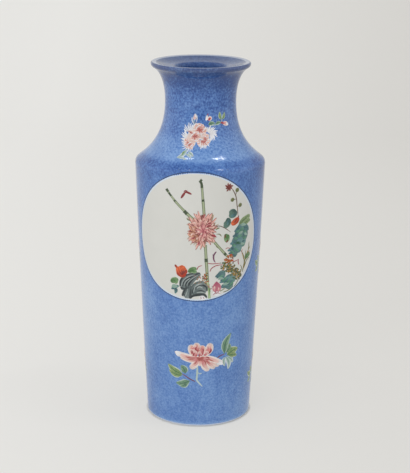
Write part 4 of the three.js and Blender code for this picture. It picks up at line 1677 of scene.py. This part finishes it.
# %% The spray at the neck
def paint_neck_spray(motif):
    """A double pink blossom with white petals round it, and three buds."""
    motif.paint("cream_petals", "round", cream, 0, (
        fan(3.2, (1, 13), 0.4, 8.6, -10, 220, 7)
        + fan(3.2, (-4.6, 4), 0.4, 9, 110, 250, 6)
        + fan(3, (6, 3), 0.4, 8.4, -120, 40, 6)
        + [bent(4.4, (-1, 9), (9.6, 4.4), 0.1)]
    ))
    motif.paint("white_petals", "spike", white_petal, 0.4, (
        fan(0.6, (-8.6, 5.6), 1.4, 11, 125, 215, 8)
        + fan(0.55, (-7, 11.6), 1.4, 11, 60, 165, 8)
        + fan(0.6, (13, 9.4), 1, 9.8, -90, 125, 17)
        + fan(0.8, (12.6, 9.4), 0.4, 6, -70, 95, 7)
        + fan(0.55, (6, 1), 3, 9, -110, -10, 8)
        + fan(0.5, (-9, -2), 3, 9.6, 160, 300, 8)
        + [bent(0.5, (-4.6, 20), (-6.4, 27.6), 0.1), bent(0.45, (-2.6, 20.6), (-1.4, 30), -0.1)]
    ), rows=12)
    motif.paint("pink_petals", "petal", soft_rose, 1.2, (
        fan(3.2, (2.4, 14.4), 0.4, 7, -20, 290, 7)
        + fan(2.9, (-2.6, 6.6), 0.4, 6, 60, 330, 5)
        + fan(3.3, (6.4, 2.8), 0.4, 7.4, -160, 60, 6)
        + fan(2.9, (-8.6, -1.2), 0.4, 6.6, 130, 330, 5)
        + [bent(2, (-10.6, 12.4), (-5.4, 8.8), 0.1)]
    ))
    motif.paint("petal_shades", "spike", soft_shade, 3, (
        fan(0.7, (1.6, 13.8), 0.2, 3.6, 0, 320, 6)
        + fan(0.7, (-2.8, 6.6), 0.2, 3.4, 20, 330, 5)
        + fan(0.45, (6.4, 2), 0.8, 4.4, -150, 40, 4)
        + fan(0.5, (-8.4, -1), 0.4, 3.4, 150, 330, 4)
        + [bent(0.9, (-8.6, 11), (-5.6, 8.8), 0.1)]
    ), rows=10)
    motif.paint("petal_lights", "line", white_petal, 3.6, [
        (0.35, [(-5, 1.6), (-1, 2.6), (1.4, 0.4)]), (0.35, [(-1, 10.4), (3, 9.4), (7, 11)]),
        (0.35, [(1, -2), (5, -3.6), (10, -2.6)]), (0.3, [(3.6, 6.4), (6.4, 7.4), (9.6, 6)]),
        (0.45, [(-2, 14.6), (0.4, 17.6), (3.4, 19)]), (0.4, [(4.6, 12.4), (7.4, 14.6), (8.6, 17.6)]),
        (0.4, [(-8.6, 6.4), (-5.6, 8.6), (-3.4, 12)]), (0.4, [(-11.6, -4.6), (-9.4, -1.4), (-6.4, 0.6)]),
        (0.35, [(-7.6, -5.6), (-6, -2.6), (-4.4, -1.6)]), (0.4, [(8.6, 0.4), (11.4, 2.4), (12.6, 5.6)]),
        (0.35, [(2.4, 2.6), (3.6, -0.6), (3, -3.4)]),
    ], rows=10)
    motif.paint("petal_frills", "spike", white_petal, 3.8, (
        fan(0.36, (2.4, 14.4), 3.2, 7.6, 10, 280, 9, 0.15)
        + fan(0.36, (-2.6, 6.6), 2.8, 6.6, 60, 330, 7, -0.15)
        + fan(0.36, (6.4, 2.8), 3.2, 8, -160, 60, 9, 0.15)
        + fan(0.36, (-8.6, -1.2), 3, 7.2, 130, 330, 8, -0.15)
    ), rows=10)
    motif.paint("buds", "round", pale_petal, 1, [
        bent(2.3, (11, 23.6), (14.6, 27), 0.1), bent(1.6, (-3.2, 30.4), (-4.4, 24.4), 0.1),
        bent(2.3, (28, 20), (35, 17.6), 0.05),
    ])
    motif.paint("bud_whites", "round", white_petal, 1.6, [
        bent(1.3, (9.4, 29.2), (8.4, 23.6), 0.1), bent(1, (-3, 31), (-3.6, 26.4), 0.1),
        bent(1.3, (31.6, 19.6), (35.6, 17), 0.05),
    ], rows=12)
    motif.paint("bud_reds", "spike", dark_rose, 2.4, [
        bent(1.2, (11.4, 24.4), (13.8, 26), 0.1), bent(1.2, (25, 20.6), (29.4, 19), 0.1),
        bent(0.5, (10.4, 28.6), (10.8, 31), 0.1),
    ], rows=10)
    motif.paint("leaves", "leaf", spray_leaf, 0.4, [
        bent(2.4, (11, 19), (18.6, 20.4), 0.1), bent(2, (18.6, 19), (26.4, 20.4), 0.1),
    ])
    motif.paint("pale_leaves", "leaf", pale_leaf, 0.4, [
        bent(2.3, (-11, -7.6), (-22, -18.8), 0.12), bent(1.9, (-9.6, -10.6), (-3.8, -16.6), 0.1),
        bent(1.5, (-12, -13), (-5.6, -18.6), 0.1), bent(1.3, (-21, -18.8), (-11, -19.8), 0.1),
    ])
    motif.paint("yellow_leaves", "leaf", yellow_leaf, 0.6, [
        bent(1.9, (26, 23.6), (24, 32.4), 0.1), bent(1.9, (27.2, 23.8), (30, 31.4), -0.1),
        bent(1.2, (-12.6, -9.6), (-16.4, -16.6), -0.1),
    ])
    motif.paint("stems", "line", pale_stem, 0.2, [
        (0.4, [(-3.6, 25), (-4.4, 22), (-3.6, 19)]), (0.45, [(-9.6, -5.6), (-13, -10), (-15.6, -17)]),
        (0.4, [(-14.6, -20.2), (-10.2, -19.6)]), (0.4, [(26.4, 24.4), (26, 21), (19, 18.6), (12, 18.6)]),
    ])


# %% The spray below a window
def paint_low_spray(motif):
    """One open blossom with long petals, on a pale stem with leaves to both sides."""
    motif.paint("stems", "line", pale_stem, 0, [
        (0.9, [(2.8, -6.1), (2.2, -18.5), (2.2, -23.7), (8.2, -31)]),
        (0.5, [(2.4, -14), (5.4, -15.6), (7.6, -14.6)]),
    ])
    motif.paint("twigs", "line", purple_stem, 0.1, [
        (0.7, [(0.4, -25.1), (-5, -22.6), (-11.1, -18.7), (-14.9, -17.2)]),
        (0.7, [(24.5, 1.8), (28, 4.2), (33.4, 5.6)]),
    ])
    motif.paint("leaves", "leaf", spray_leaf, 0.2, [
        bent(4.4, (-10.6, -16.1), (-15.8, -6.6), -0.1), bent(4.6, (-5.6, -24.4), (-21.8, -28.6), 0.1),
        bent(3.4, (-8.6, -26), (-16.4, -32.6), 0.1), bent(4.4, (33, 5.6), (41.6, 29.6), 0.12),
        bent(3, (35, 6.6), (39.6, 17.6), -0.16),
    ])
    motif.paint("pale_leaves", "leaf", pale_leaf, 0.2, [
        bent(3.4, (35, 2.6), (38, -13.6), 0.16), bent(2.6, (34, 2), (34, -9), -0.14),
        bent(2.8, (37, 2), (44.6, -6.6), 0.1),
    ])
    motif.paint("yellow_leaves", "leaf", yellow_leaf, 0.5, [
        bent(4.6, (-13.6, -17.6), (-32, -7.6), 0.08), bent(3.6, (-14.6, -19), (-30.4, -14.4), 0.1),
        bent(5.4, (36.4, 3.6), (51.6, 9.4), 0.08), bent(3.8, (38, 3.4), (50, 0.6), 0.1),
    ])
    motif.paint("pale_petals", "round", cream, 0.5, [
        bent(4.8, (1, 6), (-4.2, 19), 0.1), bent(4.4, (3, 8), (1.4, 21.4)), bent(4.2, (6, 6), (8.6, 18.4)),
        bent(4.6, (10, 7), (17, 20.6), -0.12), bent(4, (3, 2.6), (-5.4, -9.6), 0.1),
        bent(4.2, (9, 1.6), (15, -12.4), -0.1), bent(3.4, (6, 1), (5.2, -6.4)),
        bent(3.6, (12.6, 0), (22.4, -9.6), -0.06),
    ])
    motif.paint("pale_wings", "round", cream, 0.9, [
        bent(3.6, (10, 2.6), (-23.4, 8.6), 0.05), bent(3.4, (8, 0.6), (-17, 3.4), 0.05),
        bent(3.6, (-2, 3.6), (32.6, -5), 0.08), bent(3.2, (2, 1), (27, -7.6), 0.05),
    ])
    motif.paint("rose_wings", "round", pale_petal, 2.2, [
        bent(3, (9, 2.4), (-21, 7.2), 0.05), bent(2.8, (8, 0.6), (-14.6, 2.6), 0.05),
        bent(3, (-1, 3.4), (29.8, -4.2), 0.08), bent(2.6, (2, 1), (24, -6.6), 0.05),
    ])
    motif.paint("wing_tips", "round", white_petal, 3.4, [
        bent(1.7, (-14.6, 8.6), (-22.6, 8.8), 0.1), bent(1.4, (-16, 4.6), (-21.6, 6.6), 0.1),
        bent(1.6, (24, -5.4), (31.6, -6), 0.1), bent(1.2, (26, -1.8), (31, -4), 0.1),
    ], rows=12)
    motif.paint("rose_petals", "round", peony, 2.8, [
        bent(4.1, (1.8, 5), (-3.4, 17.6), 0.1), bent(3.7, (3.6, 7), (1.6, 19.6)),
        bent(3.8, (10, 6), (15.8, 18.8), -0.12), bent(3.7, (6.4, 5.6), (8.6, 17.6)),
    ])
    motif.paint("lower_petals", "round", pale_petal, 3, [
        bent(3.3, (3.8, 3), (-4, -7.4), 0.1), bent(3.5, (8.8, 2.4), (13.8, -10.4), -0.1),
        bent(2.8, (6, 2), (5.4, -5)), bent(2.8, (12.6, 1), (20.4, -7.8), -0.06),
    ])
    motif.paint("petal_folds", "round", pale_petal, 4, [
        bent(2.2, (-3.6, 8.6), (-1.4, 13.4), 0.2), bent(2.2, (1.6, 6.6), (1.4, 12.6), 0.2),
        bent(2.2, (6.4, 6), (5.4, 11.6), 0.1), bent(2.3, (10.6, 6.6), (12.6, 12), -0.2),
        bent(2, (-3.4, 14), (-0.6, 18.8), -0.3), bent(1.9, (3.4, 13.6), (4.4, 18), -0.2),
        bent(1.9, (14.6, 12.6), (16.4, 18.2), 0.2),
    ], rows=12)
    motif.paint("petal_shades", "spike", soft_shade, 5, (
        fan(0.9, (5.7, 3.4), 0.2, 5, 170, 370, 9)
        + [bent(0.8, (0, 3.2), (-11, 4.4), 0.06), bent(0.6, (-1, 1.8), (-8.6, 1.6), 0.06)]
        + [bent(0.8, (10, 2.2), (21, -1.6), 0.06), bent(0.7, (9, 0.8), (17, -4), 0.06)]
        + [bent(0.7, (2, 0), (-1.6, -4.6), 0.1), bent(0.7, (10, 0), (12.2, -5.6), 0.1)]
    ), rows=10)
    motif.paint("petal_darks", "spike", dark_rose, 5.6, [
        bent(1, (3.6, 11.4), (2, 17.2), 0.4), bent(0.9, (-3.4, 12.2), (-3.8, 7.6), 0.1),
        bent(0.9, (-1, 9.4), (-2.6, 5.4), 0.1), bent(1, (14.6, 8.4), (17.4, 14.6), -0.2),
        bent(0.8, (8.4, 14.6), (8.4, 9.6), 0.1), bent(0.8, (4, 8.6), (4.4, 4.4), 0.1),
        bent(0.8, (11.6, 4.6), (16, 2.2), 0.1),
    ], rows=10)


# %% The small spray at the sides
def paint_side_spray(motif):
    """A small round blossom with a long twig to its left and a short one to its right."""
    motif.paint("stems", "line", pale_stem, 0, [
        (0.8, [(4, 4), (3, -8), (0, -16), (2.6, -22)]), (0.55, [(1.6, -11), (-6, -9.6), (-13.6, -8.6)]),
        (0.5, [(2.6, -8), (7, -5.6), (10, -6)]),
    ])
    motif.paint("leaves", "leaf", spray_leaf, 0.3, [
        bent(3, (-12.6, -9.4), (-22.6, -16), 0.12), bent(2.8, (9.6, -6), (17.6, -10.6), 0.1),
        bent(2.8, (0.6, -17), (-7.6, -22.6), 0.1),
    ])
    motif.paint("yellow_leaves", "leaf", yellow_leaf, 0.5, [
        bent(3.3, (-12.8, -8.4), (-24, -3.6), 0.12), bent(2.6, (-12, -7.6), (-16.6, 0.6), -0.1),
        bent(2.8, (9.6, -5), (17.4, -0.6), 0.1),
    ])
    motif.paint("pale_petals", "round", cream, 0.6, fan(4.2, (4, 8), 0.4, 9.6, 0, 300, 6, 0.06))
    motif.paint("rose_petals", "round", peony, 2, fan(2.9, (4, 8), 0.2, 7.6, 0, 300, 6, 0.06))
    motif.paint("petal_shades", "spike", dark_rose, 4, fan(0.7, (4, 8), 0.2, 4.4, 20, 350, 10), rows=10)


# %% Place the sprays
paint_neck_spray(Motif("front_neck", 320, 0))
paint_neck_spray(Motif("back_neck", 320, 180, seed=10))
for name, side in (("front", 0), ("back", 180)):
    paint_low_spray(Motif(name + "_low", 80, side, seed=side))
for name, side in (("right", 90), ("left", 270)):
    paint_side_spray(Motif(name + "_low", 57, side, seed=side))
    paint_side_spray(Motif(name + "_side", 188, side, seed=side + 5))
